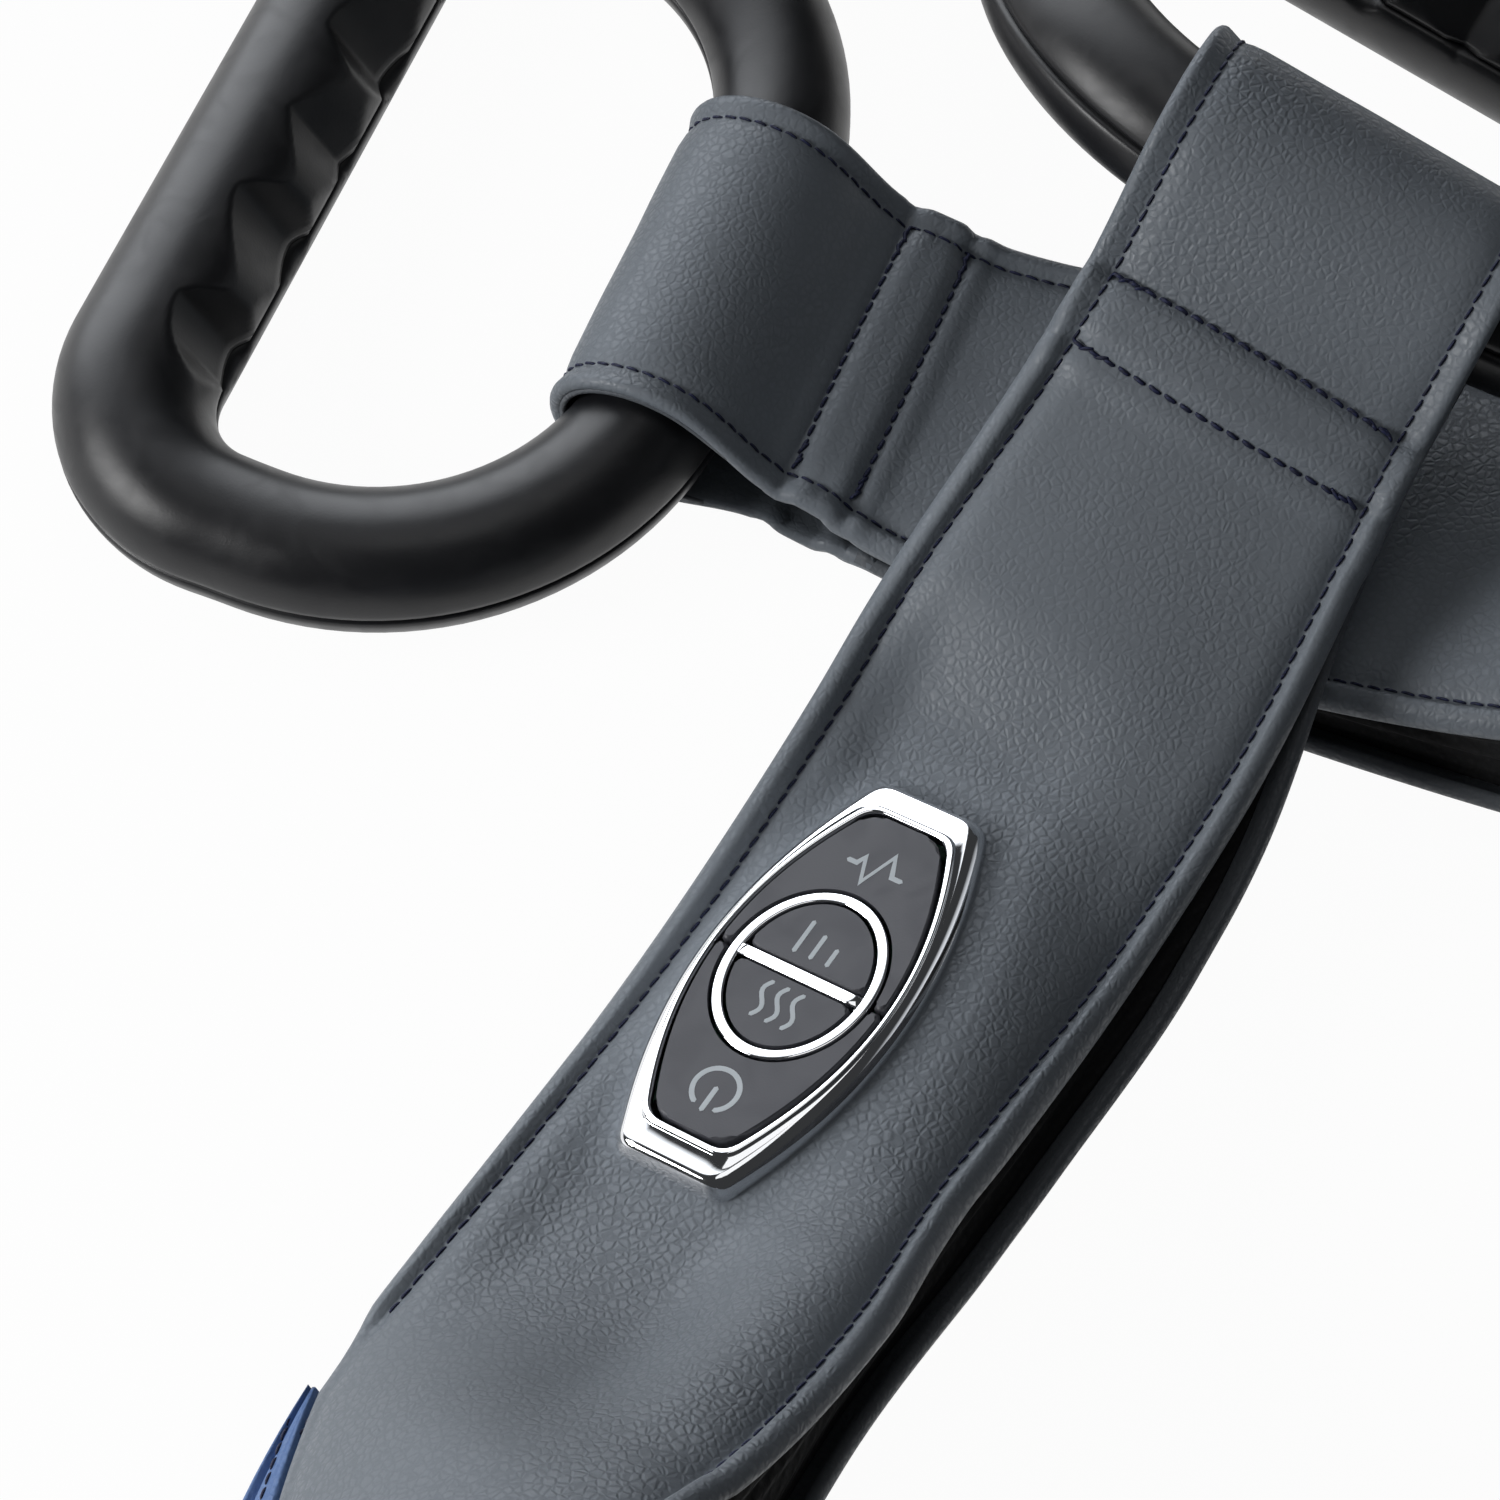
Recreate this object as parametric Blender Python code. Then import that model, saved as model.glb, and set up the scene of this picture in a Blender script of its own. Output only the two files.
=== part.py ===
"""Kneading neck massager, standing on the lower edge of its collar body with both arms crossed.

Metres, +Z up. The collar body runs along X at the origin, its back faces +Y and the user's neck
would be on the -Y side. The left arm (+X) carries the control panel and passes over the right arm.
"""
import math

import bmesh
import bpy
from mathutils import Matrix, Vector

MM = 0.001

# Band: one padded collar from handle to handle, followed by the distance u from the nape
GAP = 0.3 * MM
FILL_GAP = 0.5 * MM
HALF_LENGTH = 598 * MM
BODY_STRAIGHT = 166 * MM
BEND_RADIUS = 99 * MM
LEFT_TURN = 147.6
RIGHT_TURN = 130.8
BODY_HEIGHT = 150 * MM
STRAP_WIDTH = 75 * MM
LOOP_WIDTH = 65 * MM
BODY_EDGE = 72 * MM
STRAP_EDGE = 10 * MM
BODY_CROWN = 11 * MM
STRAP_CROWN = 1.5 * MM
SKIN = 2.5 * MM
EDGE_RECESS = 3 * MM
FLOOR_CLEAR = 0.5 * MM
LAP = 17.5 * MM
END_ROLL = -6.8
TWIST_END = 487 * MM
TAPER_START = 190 * MM
LEFT_TAPER_END = 478 * MM
RIGHT_TAPER_END = 526 * MM
SWELL_END = 340 * MM
LIFT_START = 402 * MM
CROSS_CLEAR = 5.0 * MM
STEP = 17.5 * MM
CELLS = 6

# Seams between the body's covers and the grey arms, counted in cross-section steps
SEAM_ROOT = 12 * STEP
SEAM_TIP = 19 * STEP
FRONT_SEAM = 14 * STEP

# Handle rings
TUBE_RADIUS = 12.5 * MM
GRIP_RADIUS = 15 * MM
GRIP_OFFSET = 87 * MM
BAR_HALF = 21 * MM
SHOULDER_RADIUS = 54 * MM
CORNER_RADIUS = 25 * MM
FINGER_PITCH = 24 * MM
FINGER_DEPTH = 4.5 * MM
CUSP_DEPTH = 0.8 * MM
SHELL_WALL = 2.5 * MM

# Control panel on the left arm
PANEL_AT = 426 * MM
PANEL_SIDE = -0.24
PANEL_ROLL = 8
PANEL_LENGTH = 80 * MM
PANEL_WIDTH = 39 * MM
PANEL_END_WIDTH = 21 * MM
PANEL_LOW_SINK = 4 * MM
PANEL_HIGH_SINK = 0.5 * MM
PANEL_EASE = 34 * MM
PANEL_NEAR_EASE = 9 * MM
PANEL_FAR_EASE = 22 * MM
PANEL_SLACK = 1.8 * MM
BEZEL_BAND = 3.2 * MM
BEZEL_END_BAND = 7 * MM
BEZEL_SLOPE = 2.0 * MM
BEZEL_RISE = 4.2 * MM
RING_MARGIN = 3.0 * MM
RING_STRETCH = 1.24
RING_BAND = 1.6 * MM
BAR_BAND = 2.2 * MM
BUTTON_GAP = 0.4 * MM
BUTTON_TRAVEL = 1.0 * MM
HOUSING_DEPTH = 8.2 * MM

# Massage unit
ROTOR_PITCH = 88 * MM
ROTOR_RADIUS = 31 * MM
ORBIT_RADIUS = 20 * MM
LARGE_NODE = 11 * MM
SMALL_NODE = 9 * MM
LARGE_NODE_HEIGHT = 20 * MM
SMALL_NODE_HEIGHT = 15.5 * MM
MODULE = 1.0 * MM
WHEEL_TEETH = 30
WORM_RADIUS = 4.5 * MM
WORM_LENGTH = 15 * MM
TOOTH_WIDTH = 1.0 * MM
WHEEL_FACE = 6 * MM
WHEEL_Y = 10 * MM
MOTOR_RADIUS = 15 * MM
MOTOR_LENGTH = 44 * MM
MOTOR_SHAFT_RADIUS = 1.5 * MM
OUTPUT_SHAFT_RADIUS = 3 * MM
UNIT_WALL = 2 * MM
UNIT_BACK = 30 * MM
UNIT_FRONT = -9.5 * MM
UNIT_HEIGHT = 84 * MM
UNIT_MARGIN = 6 * MM
MOTOR_SADDLE = 16 * MM
SCREW_INSET = 9 * MM
SCREW_LENGTH = 13.5 * MM
BOARD_THICK = 1.6 * MM
MAIN_BOARD_WIDTH = 52 * MM
SOCKET_RADIUS = 5.5 * MM
SOCKET_DEPTH = 9 * MM

# Colours
LEATHER = (0.092, 0.110, 0.128)
LINING = (0.075, 0.088, 0.102)
BLUE = (0.045, 0.092, 0.262)
MESH = (0.020, 0.021, 0.024)
PLASTIC = (0.016, 0.016, 0.018)
CHROME = (0.82, 0.83, 0.85)
BUTTON = (0.048, 0.048, 0.057)
WHITE_PLASTIC = (0.62, 0.62, 0.60)
STEEL = (0.55, 0.55, 0.56)
BRASS = (0.62, 0.46, 0.20)
FOAM = (0.30, 0.30, 0.32)
BOARD = (0.02, 0.13, 0.06)

# Derived sizes
HALF_BODY = BODY_STRAIGHT / 2
UNIT_HALF = ROTOR_PITCH / 2 + ROTOR_RADIUS + UNIT_MARGIN
CAVITY_END = STEP * math.ceil((max(HALF_BODY, UNIT_HALF) + 6 * MM) / STEP)
BODY_MID = BODY_HEIGHT / 2 + FLOOR_CLEAR
ROTOR_Z = BODY_MID - 5 * MM
WHEEL_RADIUS = MODULE * WHEEL_TEETH / 2
WORM_Z = ROTOR_Z + WHEEL_RADIUS + WORM_RADIUS
PLATE_Y = UNIT_FRONT - 8.5 * MM
SHOULDER_BOW = SHOULDER_RADIUS - math.sqrt(
    SHOULDER_RADIUS ** 2 - max(0.0, LOOP_WIDTH / 2 - BAR_HALF) ** 2)
LOOP_INNER = TUBE_RADIUS + SHOULDER_BOW + 1.2 * MM
LOOP_OUTER = LOOP_INNER + SKIN
BAR_AT = HALF_LENGTH - LOOP_OUTER
ARM_END = BAR_AT - LOOP_INNER - 7 * MM
LAP_START = ARM_END - LAP
TWIST_START = CAVITY_END + 5 * MM


for old in list(bpy.data.objects):
    bpy.data.objects.remove(old, do_unlink=True)

PARTS = bpy.data.collections.new("shiatsu_neck_massager")
CUTTERS = bpy.data.collections.new("cutters")
for group in (PARTS, CUTTERS):
    bpy.context.scene.collection.children.link(group)
CUTTERS.hide_render = True


def clamp(x, low=0.0, high=1.0):
    return max(low, min(high, x))


def smooth(a, b, x):
    t = clamp((x - a) / (b - a))
    return t * t * (3 - 2 * t)


def material(name, colour, rough, metal=0.0):
    mat = bpy.data.materials.new(name)
    mat.use_nodes = True
    shader = mat.node_tree.nodes["Principled BSDF"]
    shader.inputs["Base Color"].default_value = (*colour, 1.0)
    shader.inputs["Roughness"].default_value = rough
    shader.inputs["Metallic"].default_value = metal
    return mat


# Band shape
def side_of(s):
    return 1 if s >= 0 else -1


def plan(s):
    """Floor position, heading and outward direction at signed distance s from the nape."""
    u, side = abs(s), side_of(s)
    turn = math.radians(LEFT_TURN if side > 0 else RIGHT_TURN)
    phi = clamp((u - HALF_BODY) / BEND_RADIUS, 0.0, turn)
    heading = Vector((math.cos(phi), -math.sin(phi), 0))
    outward = Vector((math.sin(phi), math.cos(phi), 0))
    run = max(0.0, u - HALF_BODY - BEND_RADIUS * turn)
    spot = Vector((min(u, HALF_BODY) + BEND_RADIUS * math.sin(phi),
                   -BEND_RADIUS * (1 - math.cos(phi)), 0)) + heading * run
    flip = Vector((side, 1, 1))
    return spot * flip, heading * flip, outward * flip


def bulk(s):
    """1 at the collar body, falling to 0 where the arm is flat."""
    end = LEFT_TAPER_END if s > 0 else RIGHT_TAPER_END
    return clamp((end - abs(s)) / (end - TAPER_START)) ** 1.25


def width(u):
    swell = (BODY_HEIGHT - STRAP_WIDTH) * (1 - smooth(TWIST_START, SWELL_END, u))
    return STRAP_WIDTH + swell - (STRAP_WIDTH - LOOP_WIDTH) * smooth(TWIST_END, ARM_END, u)


def edge(s):
    return STRAP_EDGE + (BODY_EDGE - STRAP_EDGE) * bulk(s)


def crown(s):
    return STRAP_CROWN + (BODY_CROWN - STRAP_CROWN) * bulk(s)


def roll(s):
    u = abs(s)
    lean = 90 * (1 - smooth(TWIST_START, TWIST_END, u))
    if s > 0:
        lean += END_ROLL * smooth(TWIST_END, ARM_END, u)
    return math.radians(lean)


def rest_height(s):
    """Height of the band's middle that leaves its lowest point just above the floor."""
    u, lean = abs(s), abs(roll(s))
    if lean > math.radians(89.9):
        return width(u) / 2 + FLOOR_CLEAR
    low = max(-1.0, -width(u) * math.tan(lean) / (4 * crown(s)))
    drop = low * width(u) / 2 * math.sin(lean)
    drop -= (edge(s) / 2 + crown(s) * (1 - low * low)) * math.cos(lean)
    return FLOOR_CLEAR - drop


def crossing():
    """Distances along the left and right arms at which their middle lines cross."""
    a, da, _ = plan(HALF_LENGTH)
    b, db, _ = plan(-HALF_LENGTH)
    det = da.x * -db.y + db.x * da.y
    gap = b - a
    left = (gap.x * -db.y + db.x * gap.y) / det
    right = (da.x * gap.y - da.y * gap.x) / det
    return HALF_LENGTH + left, HALF_LENGTH + right


CROSS_LEFT, CROSS_RIGHT = crossing()
CROSS_NEAR = CROSS_LEFT - STRAP_WIDTH * 0.53
CROSS_NEED = (rest_height(-CROSS_RIGHT) + edge(-CROSS_RIGHT) / 2 + crown(-CROSS_RIGHT) + CROSS_CLEAR
              + STRAP_WIDTH / 2 * math.sin(abs(roll(CROSS_NEAR))))


def ramp(u):
    return max(0.0, (u - LIFT_START) / (HALF_LENGTH - LIFT_START)) ** 1.4


LEFT_LIFT = CROSS_NEED / ramp(CROSS_NEAR)
RIGHT_LIFT = LOOP_OUTER + FLOOR_CLEAR - rest_height(-BAR_AT)


def height(s):
    u = abs(s)
    if s > 0:
        return rest_height(s) + LEFT_LIFT * ramp(u)
    return rest_height(s) + RIGHT_LIFT * smooth(CROSS_RIGHT + STRAP_WIDTH * 0.6, BAR_AT + LOOP_OUTER, u)


def frame(s):
    """Origin, tangent (toward the handle), across direction and outer normal of the band."""
    spot, heading, outward = plan(s)
    lean, side, small = roll(s), side_of(s), 0.5 * MM
    slope = 0.0
    if abs(s) > small:
        slope = (height(s + small * side) - height(s - small * side)) / (2 * small)
    along = (heading + Vector((0, 0, slope))).normalized()
    across = Vector((0, 0, math.sin(lean))) - outward * math.cos(lean)
    normal = (across.cross(along) * side).normalized()
    return spot + Vector((0, 0, height(s))), along, across, normal


def band(s, v, n):
    spot, _, across, normal = frame(s)
    return spot + across * (v * width(abs(s)) / 2) + normal * n


def surface(s, v):
    return edge(s) / 2 + crown(s) * (1 - v * v)


def panel_place():
    """Frame of the control panel: X along the arm, Z out of it, laid level between its two ends."""
    ends = [band(u, PANEL_SIDE, surface(u, PANEL_SIDE) - sink) for u, sink in (
        (PANEL_AT - PANEL_LENGTH / 2, PANEL_LOW_SINK), (PANEL_AT + PANEL_LENGTH / 2, PANEL_HIGH_SINK))]
    along = (ends[1] - ends[0]).normalized()
    normal = frame(PANEL_AT)[3]
    normal = (normal - along * normal.dot(along)).normalized()
    roll = math.radians(PANEL_ROLL)
    normal = normal * math.cos(roll) + normal.cross(along) * math.sin(roll)
    turn = Matrix((along, normal.cross(along), normal)).transposed().to_4x4()
    return Matrix.Translation((ends[0] + ends[1]) / 2) @ turn


PANEL = panel_place()
PANEL_BACK = PANEL.inverted()


def panel_share(s, v):
    """Height over the panel's plane and how far the skin is laid down on that plane."""
    spot = PANEL_BACK @ band(s, v, surface(s, v))
    share = 1 - smooth(PANEL_LENGTH / 2, PANEL_LENGTH / 2 + PANEL_EASE, abs(spot.x))
    ease = PANEL_NEAR_EASE if spot.y > 0 else PANEL_FAR_EASE
    share *= 1 - smooth(PANEL_WIDTH / 2, PANEL_WIDTH / 2 + ease, abs(spot.y))
    return spot.z, share if s > 0 else 0.0


def stations(start, end):
    """Shared cross-section positions between two signed distances, both ends included."""
    inner = [STEP * i for i in range(math.ceil(start / STEP), math.floor(end / STEP) + 1)]
    inner = [s for s in inner if abs(abs(s) - LAP_START) > STEP * 0.3] + [LAP_START, -LAP_START]
    keep = [s for s in sorted(inner) if s - start > STEP * 0.2 and end - s > STEP * 0.2]
    return [start] + keep + [end]


# Solid makers
def finish(name, bm, mat, target=None):
    bmesh.ops.remove_doubles(bm, verts=bm.verts, dist=0.000001)
    bmesh.ops.recalc_face_normals(bm, faces=bm.faces)
    mesh = bpy.data.meshes.new(name)
    bm.to_mesh(mesh)
    bm.free()
    obj = bpy.data.objects.new(name, mesh)
    (target or PARTS).objects.link(obj)
    if mat:
        mesh.materials.append(mat)
    return obj


def ribbon(name, rows, mat, closed=False, target=None):
    """Loft of two-sided sections: each station is a list of outer points and one of inner points."""
    bm = bmesh.new()
    grid = [([bm.verts.new(p) for p in a], [bm.verts.new(p) for p in b]) for a, b in rows]
    last = len(rows[0][0]) - 1
    pairs = list(zip(grid, grid[1:] + grid[:1])) if closed else list(zip(grid, grid[1:]))
    for (a0, b0), (a1, b1) in pairs:
        for j in range(last):
            bm.faces.new((a0[j], a1[j], a1[j + 1], a0[j + 1]))
            bm.faces.new((b0[j], b0[j + 1], b1[j + 1], b1[j]))
        for j in (0, last):
            bm.faces.new((a0[j], b0[j], b1[j], a1[j]))
    if not closed:
        for a, b in (grid[0], grid[-1]):
            for j in range(last):
                bm.faces.new((a[j], a[j + 1], b[j + 1], b[j]))
    return finish(name, bm, mat, target)


def turned(name, profile, place, mat, steps=16, target=None):
    """Lathe of (radius, height) points about local Z; a closed ring when no point is on the axis."""
    bm = bmesh.new()
    spots = [bm.verts.new((r, 0, h)) for r, h in profile]
    after = spots[1:] + spots[:1] if profile[0][0] > 0 else spots[1:]
    edges = [bm.edges.new(pair) for pair in zip(spots, after)]
    bmesh.ops.spin(bm, geom=spots + edges, cent=(0, 0, 0), axis=(0, 0, 1), angle=2 * math.pi,
                   steps=steps, use_merge=True)
    bmesh.ops.transform(bm, matrix=place, verts=bm.verts)
    return finish(name, bm, mat, target)


def block(name, low, high, mat, round_axis=None, radius=0.0, target=None):
    """Box between two corners, with the four edges along one axis rounded when asked."""
    bm = bmesh.new()
    centre, size = (Vector(low) + Vector(high)) / 2, Vector(high) - Vector(low)
    bmesh.ops.create_cube(bm, size=1.0, matrix=Matrix.Translation(centre) @ Matrix.Diagonal((*size, 1)))
    if round_axis is not None:
        edges = [e for e in bm.edges
                 if abs((e.verts[1].co - e.verts[0].co)[round_axis]) > size[round_axis] * 0.5]
        bmesh.ops.bevel(bm, geom=edges, offset=radius, segments=3, profile=0.5, affect='EDGES')
    return finish(name, bm, mat, target)


def pivot(obj, place):
    """Move an object's origin to its joint without moving the solid."""
    obj.data.transform(place.inverted())
    obj.matrix_world = place
    return obj


def combine(obj, tool, operation):
    tool.display_type = 'WIRE'
    tool.hide_render = True
    mod = obj.modifiers.new(operation.lower(), 'BOOLEAN')
    mod.operation = operation
    mod.solver = 'EXACT'
    mod.object = tool


def facing(spot, axis, aside=None):
    """Placement whose local Z points along axis."""
    z = Vector(axis).normalized()
    x = Vector(aside).normalized() if aside else z.orthogonal().normalized()
    y = z.cross(x)
    return Matrix.Translation(Vector(spot)) @ Matrix((x, y, z)).transposed().to_4x4()


# Soft band pieces
def band_piece(name, start, end, v_range, n_range, mat, cells=CELLS):
    rows = []
    for s in stations(start, end):
        low, high = v_range(s)
        vs = [low + (high - low) * j / cells for j in range(cells + 1)]
        rows.append(([band(s, v, n_range(s, v)[1]) for v in vs],
                     [band(s, v, n_range(s, v)[0]) for v in vs]))
    return ribbon(name, rows, mat)


def outer_layer(s, v):
    over, share = panel_share(s, v)
    top = surface(s, v) - over * share
    return top - SKIN, top


def inner_layer(s, v):
    top = surface(s, v)
    return -top, SKIN - top


def knead_bulge(s, v):
    """Rise of the mesh over each kneading rotor."""
    across = v * BODY_HEIGHT / 2 - (ROTOR_Z - BODY_MID)
    reach = math.hypot(abs(s) - ROTOR_PITCH / 2, across) / (ROTOR_RADIUS * 1.35)
    return 5 * MM * (1 - smooth(0.45, 1.0, reach))


def front_layer(s, v):
    low, high = inner_layer(s, v)
    return low - knead_bulge(s, v), high - knead_bulge(s, v)


def core_layer(s, v):
    """Filling between the skins, kept clear of the flats that approach their crown."""
    top = surface(s, v) - SKIN - FILL_GAP - crown(s) / CELLS ** 2
    cell = min(CELLS - 1, int((v + 1) / 2 * CELLS))
    (low, a), (high, b) = (panel_share(s, 2 * (cell + k) / CELLS - 1) for k in (0, 1))
    part = (v + 1) / 2 * CELLS - cell
    drop = low * a * (1 - part) + high * b * part + PANEL_SLACK * max(a, b) ** 0.5
    return -top, top - drop


def inset(s, distance):
    return distance / (width(abs(s)) / 2)


def seam(s):
    """Across position of the slanted seam between the blue cover and a grey arm."""
    line = 1 - 2 * clamp((abs(s) - SEAM_ROOT) / (SEAM_TIP - SEAM_ROOT))
    tip = 1 - inset(s, 2 * MM + GAP)
    return clamp(line, -tip, tip)


def cover_range(s):
    return -1.0, seam(s) - inset(s, GAP) if abs(s) > SEAM_ROOT - GAP else 1.0


def arm_range(s):
    return seam(s) + inset(s, GAP) if abs(s) < SEAM_TIP + GAP else -1.0, 1.0


leather_mat = material("grey_leather", LEATHER, 0.5)
lining_mat = material("grey_lining", LINING, 0.6)
blue_mat = material("blue_leather", BLUE, 0.5)
mesh_mat = material("black_mesh", MESH, 0.85)
foam_mat = material("black_foam", MESH, 0.9)

band_piece("back_cover", -SEAM_TIP + GAP, SEAM_TIP - GAP, cover_range, outer_layer, blue_mat)
band_piece("front_cover", -FRONT_SEAM, FRONT_SEAM, lambda s: (-1.0, 1.0), front_layer, mesh_mat, 8)
for side, name in ((1, "left"), (-1, "right")):
    def reach(a, b, side=side):
        return (a, b) if side > 0 else (-b, -a)
    band_piece(name + "_arm_outer_panel", *reach(SEAM_ROOT + GAP, ARM_END), arm_range,
               outer_layer, leather_mat)
    band_piece(name + "_arm_inner_panel", *reach(FRONT_SEAM + GAP, ARM_END), lambda s: (-1.0, 1.0),
               inner_layer, lining_mat)
    band_piece(name + "_arm_pad", *reach(CAVITY_END + GAP, ARM_END - 2 * MM),
               lambda s: (-1 + inset(s, EDGE_RECESS), 1 - inset(s, EDGE_RECESS)), core_layer, foam_mat)

UNIT_LOW = BODY_MID - UNIT_HEIGHT / 2
UNIT_HIGH = BODY_MID + UNIT_HEIGHT / 2
STRIP_LOW = (UNIT_LOW - GAP - BODY_MID) / (BODY_HEIGHT / 2)
STRIP_HIGH = (UNIT_HIGH + GAP - BODY_MID) / (BODY_HEIGHT / 2)
band_piece("base_strip", -CAVITY_END, CAVITY_END, lambda s: (-BODY_MID / (BODY_HEIGHT / 2), STRIP_LOW),
           core_layer, foam_mat, 2)
band_piece("upper_gusset", -CAVITY_END, CAVITY_END,
           lambda s: (STRIP_HIGH, 1 - inset(s, EDGE_RECESS)), core_layer, foam_mat, 2)


# Handle loops: a leather band lapped over the arm end and folded round the handle bar
def loop_line():
    """Inner line of the loop as (distance, height, crown share), upper leg to lower leg."""
    upper = [(u, edge(u) / 2 + GAP, 1.0) for u in stations(LAP_START, ARM_END)]
    turns = [110 - 220 * i / 10 for i in range(11)]
    curve = [(BAR_AT + LOOP_INNER * math.cos(math.radians(a)),
              LOOP_INNER * math.sin(math.radians(a)), 0.0) for a in turns]
    return upper + curve + [(u, -n, c) for u, n, c in reversed(upper)]


def loop_rows(side):
    line = loop_line()
    rows = []
    for v in (-0.97, -0.5, 0.0, 0.5, 0.97):
        inner, outer = [], []
        for i, (u, n, share) in enumerate(line):
            before, after = line[max(0, i - 1)], line[min(len(line) - 1, i + 1)]
            step = Vector((after[0] - before[0], after[1] - before[1])).normalized()
            bow = share * crown(u) * (1 - v * v) * (1 if i < len(line) / 2 else -1)
            inner.append(band(side * u, v, n + bow))
            outer.append(band(side * (u - step.y * SKIN), v, n + bow + step.x * SKIN))
        rows.append((outer, inner))
    return rows


for side, name in ((1, "left"), (-1, "right")):
    ribbon(name + "_handle_loop", loop_rows(side), leather_mat)


# Handle rings
def ring_half():
    """Points of half the ring's middle line from bar to grip: x, y, outward x, outward y."""
    points, x, y, heading = [], 0.0, 0.0, 0.0

    def straight(length, steps):
        nonlocal x, y
        for _ in range(steps):
            x += length / steps * math.cos(heading)
            y += length / steps * math.sin(heading)
            points.append((x, y, math.sin(heading), -math.cos(heading)))

    def arc(radius, degrees, steps):
        nonlocal x, y, heading
        turn = math.radians(degrees) / steps
        chord = 2 * radius * math.sin(turn / 2)
        for _ in range(steps):
            x += chord * math.cos(heading + turn / 2)
            y += chord * math.sin(heading + turn / 2)
            heading += turn
            points.append((x, y, math.sin(heading), -math.cos(heading)))

    points.append((0.0, 0.0, 0.0, -1.0))
    straight(BAR_HALF, 1)
    arc(SHOULDER_RADIUS, 90, 5)
    straight(max(1 * MM, GRIP_OFFSET - CORNER_RADIUS - y), 1)
    arc(CORNER_RADIUS, 90, 6)
    straight(x, 8)
    return points


def ring_stations():
    """Middle line of the whole ring with tube radius and finger cut at each point."""
    half = ring_half()
    distance, along = [0.0], 0.0
    for a, b in zip(reversed(half), list(reversed(half))[1:]):
        along += math.hypot(a[0] - b[0], a[1] - b[1])
        distance.append(along)
    distance.reverse()
    rows = []
    for (x, y, ox, oy), q in zip(half, distance):
        fingers = q / FINGER_PITCH
        radius = TUBE_RADIUS + (GRIP_RADIUS - TUBE_RADIUS) * (1 - smooth(2, 4, fingers))
        wave = CUSP_DEPTH + (FINGER_DEPTH - CUSP_DEPTH) * abs(math.cos(math.pi * fingers))
        cut = wave if fingers < 1.5 else CUSP_DEPTH * (1 - smooth(1.5, 2.5, fingers))
        rows.append((x, y, ox, oy, radius, cut))
    mirror = [(-x, y, -ox, oy, r, c) for x, y, ox, oy, r, c in rows[-2:0:-1]]
    return rows + mirror


RING = ring_stations()


def right_arm_skin():
    """Points on the right arm's outer skin from the blue seam to the crossing, where the left ring lies."""
    spots = [SEAM_TIP + (CROSS_RIGHT - SEAM_TIP) * i / 40 for i in range(41)]
    return [band(-u, v / 8, surface(-u, v / 8)) for u in spots for v in range(-8, 9)]


RIGHT_SKIN = right_arm_skin()


def room_under(point, radius):
    """Height of the ring's tube at a point over the right arm."""
    near = [(q, (point - q).to_2d().length) for q in RIGHT_SKIN]
    return min((point.z - math.sqrt(radius ** 2 - d ** 2) - q.z for q, d in near if d < radius),
               default=point.z - radius)


def ring_place(side):
    """Placement of a ring: origin on the bar axis, X along the bar, Y toward the grip at rest."""
    spot, along, across, _ = frame(side * BAR_AT)
    across = across.normalized()
    start = across.cross(along).cross(across).normalized()

    def place(angle):
        y = Matrix.Rotation(angle * side, 3, across) @ start
        return Matrix.Translation(spot) @ Matrix((across, y, across.cross(y))).transposed().to_4x4()

    def lowest(angle):
        where = place(angle)
        spots = [(where @ Vector((x, y, 0)), r) for x, y, _, _, r, _ in RING]
        over_arm = [room_under(p, r) for p, r in spots] if side > 0 else []
        return min([p.z - r for p, r in spots] + over_arm)

    high, low = math.radians(60), math.radians(-75)
    flip = 1 if lowest(low) < lowest(high) else -1
    low, high = low * flip, high * flip
    for _ in range(40):
        mid = (low + high) / 2
        if lowest(mid) > FLOOR_CLEAR:
            high = mid
        else:
            low = mid
    return place(high)


def shell_rows(place, up):
    rows = []
    arc = [180 * i / 5 for i in range(6)]
    for x, y, ox, oy, radius, cut in RING:
        outer, inner = [], []
        for angle in arc:
            c, s = math.cos(math.radians(angle)), math.sin(math.radians(angle))
            for into, r, limit in ((outer, radius, radius - cut),
                                   (inner, radius - SHELL_WALL, radius - cut - SHELL_WALL)):
                out = max(r * c, -limit)
                into.append(place @ Vector((x + ox * out, y + oy * out, up * (r * s + GAP / 2))))
        rows.append((outer, inner))
    return rows


plastic_mat = material("black_plastic", PLASTIC, 0.38)
for side, name in ((1, "left"), (-1, "right")):
    place = ring_place(side)
    for up, half in ((1, "_handle_top_shell"), (-1, "_handle_bottom_shell")):
        pivot(ribbon(name + half, shell_rows(place, up), plastic_mat, closed=True), place)

# Control panel
chrome_mat = material("chrome", CHROME, 0.08, 1.0)
button_mat = material("button_plastic", BUTTON, 0.45)
housing_mat = material("housing_plastic", PLASTIC, 0.5)
board_mat = material("circuit_board", BOARD, 0.5)


def outline(inset_side, inset_end, steps=12):
    """Barrel outline with flat ends: (x along the arm, y across), going round once."""
    half, wide = PANEL_LENGTH / 2 - inset_end, PANEL_WIDTH / 2 - inset_side
    end = max(3 * MM, PANEL_END_WIDTH / 2 - inset_side)
    corner = 2.2 * MM
    points = []
    for sign in (1, -1):
        for i in range(steps + 1):
            x = (half - corner * 0.9) * (1 - 2 * i / steps) * sign
            points.append((x, (wide - (wide - end) * (x / half) ** 2) * sign))
        points.append((-(half - corner * 0.25) * sign, (end - corner * 0.35) * sign))
        points.append((-half * sign, (end - corner) * sign))
        points.append((-half * sign, -(end - corner) * sign))
        points.append((-(half - corner * 0.25) * sign, -(end - corner * 0.35) * sign))
    return points


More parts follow.
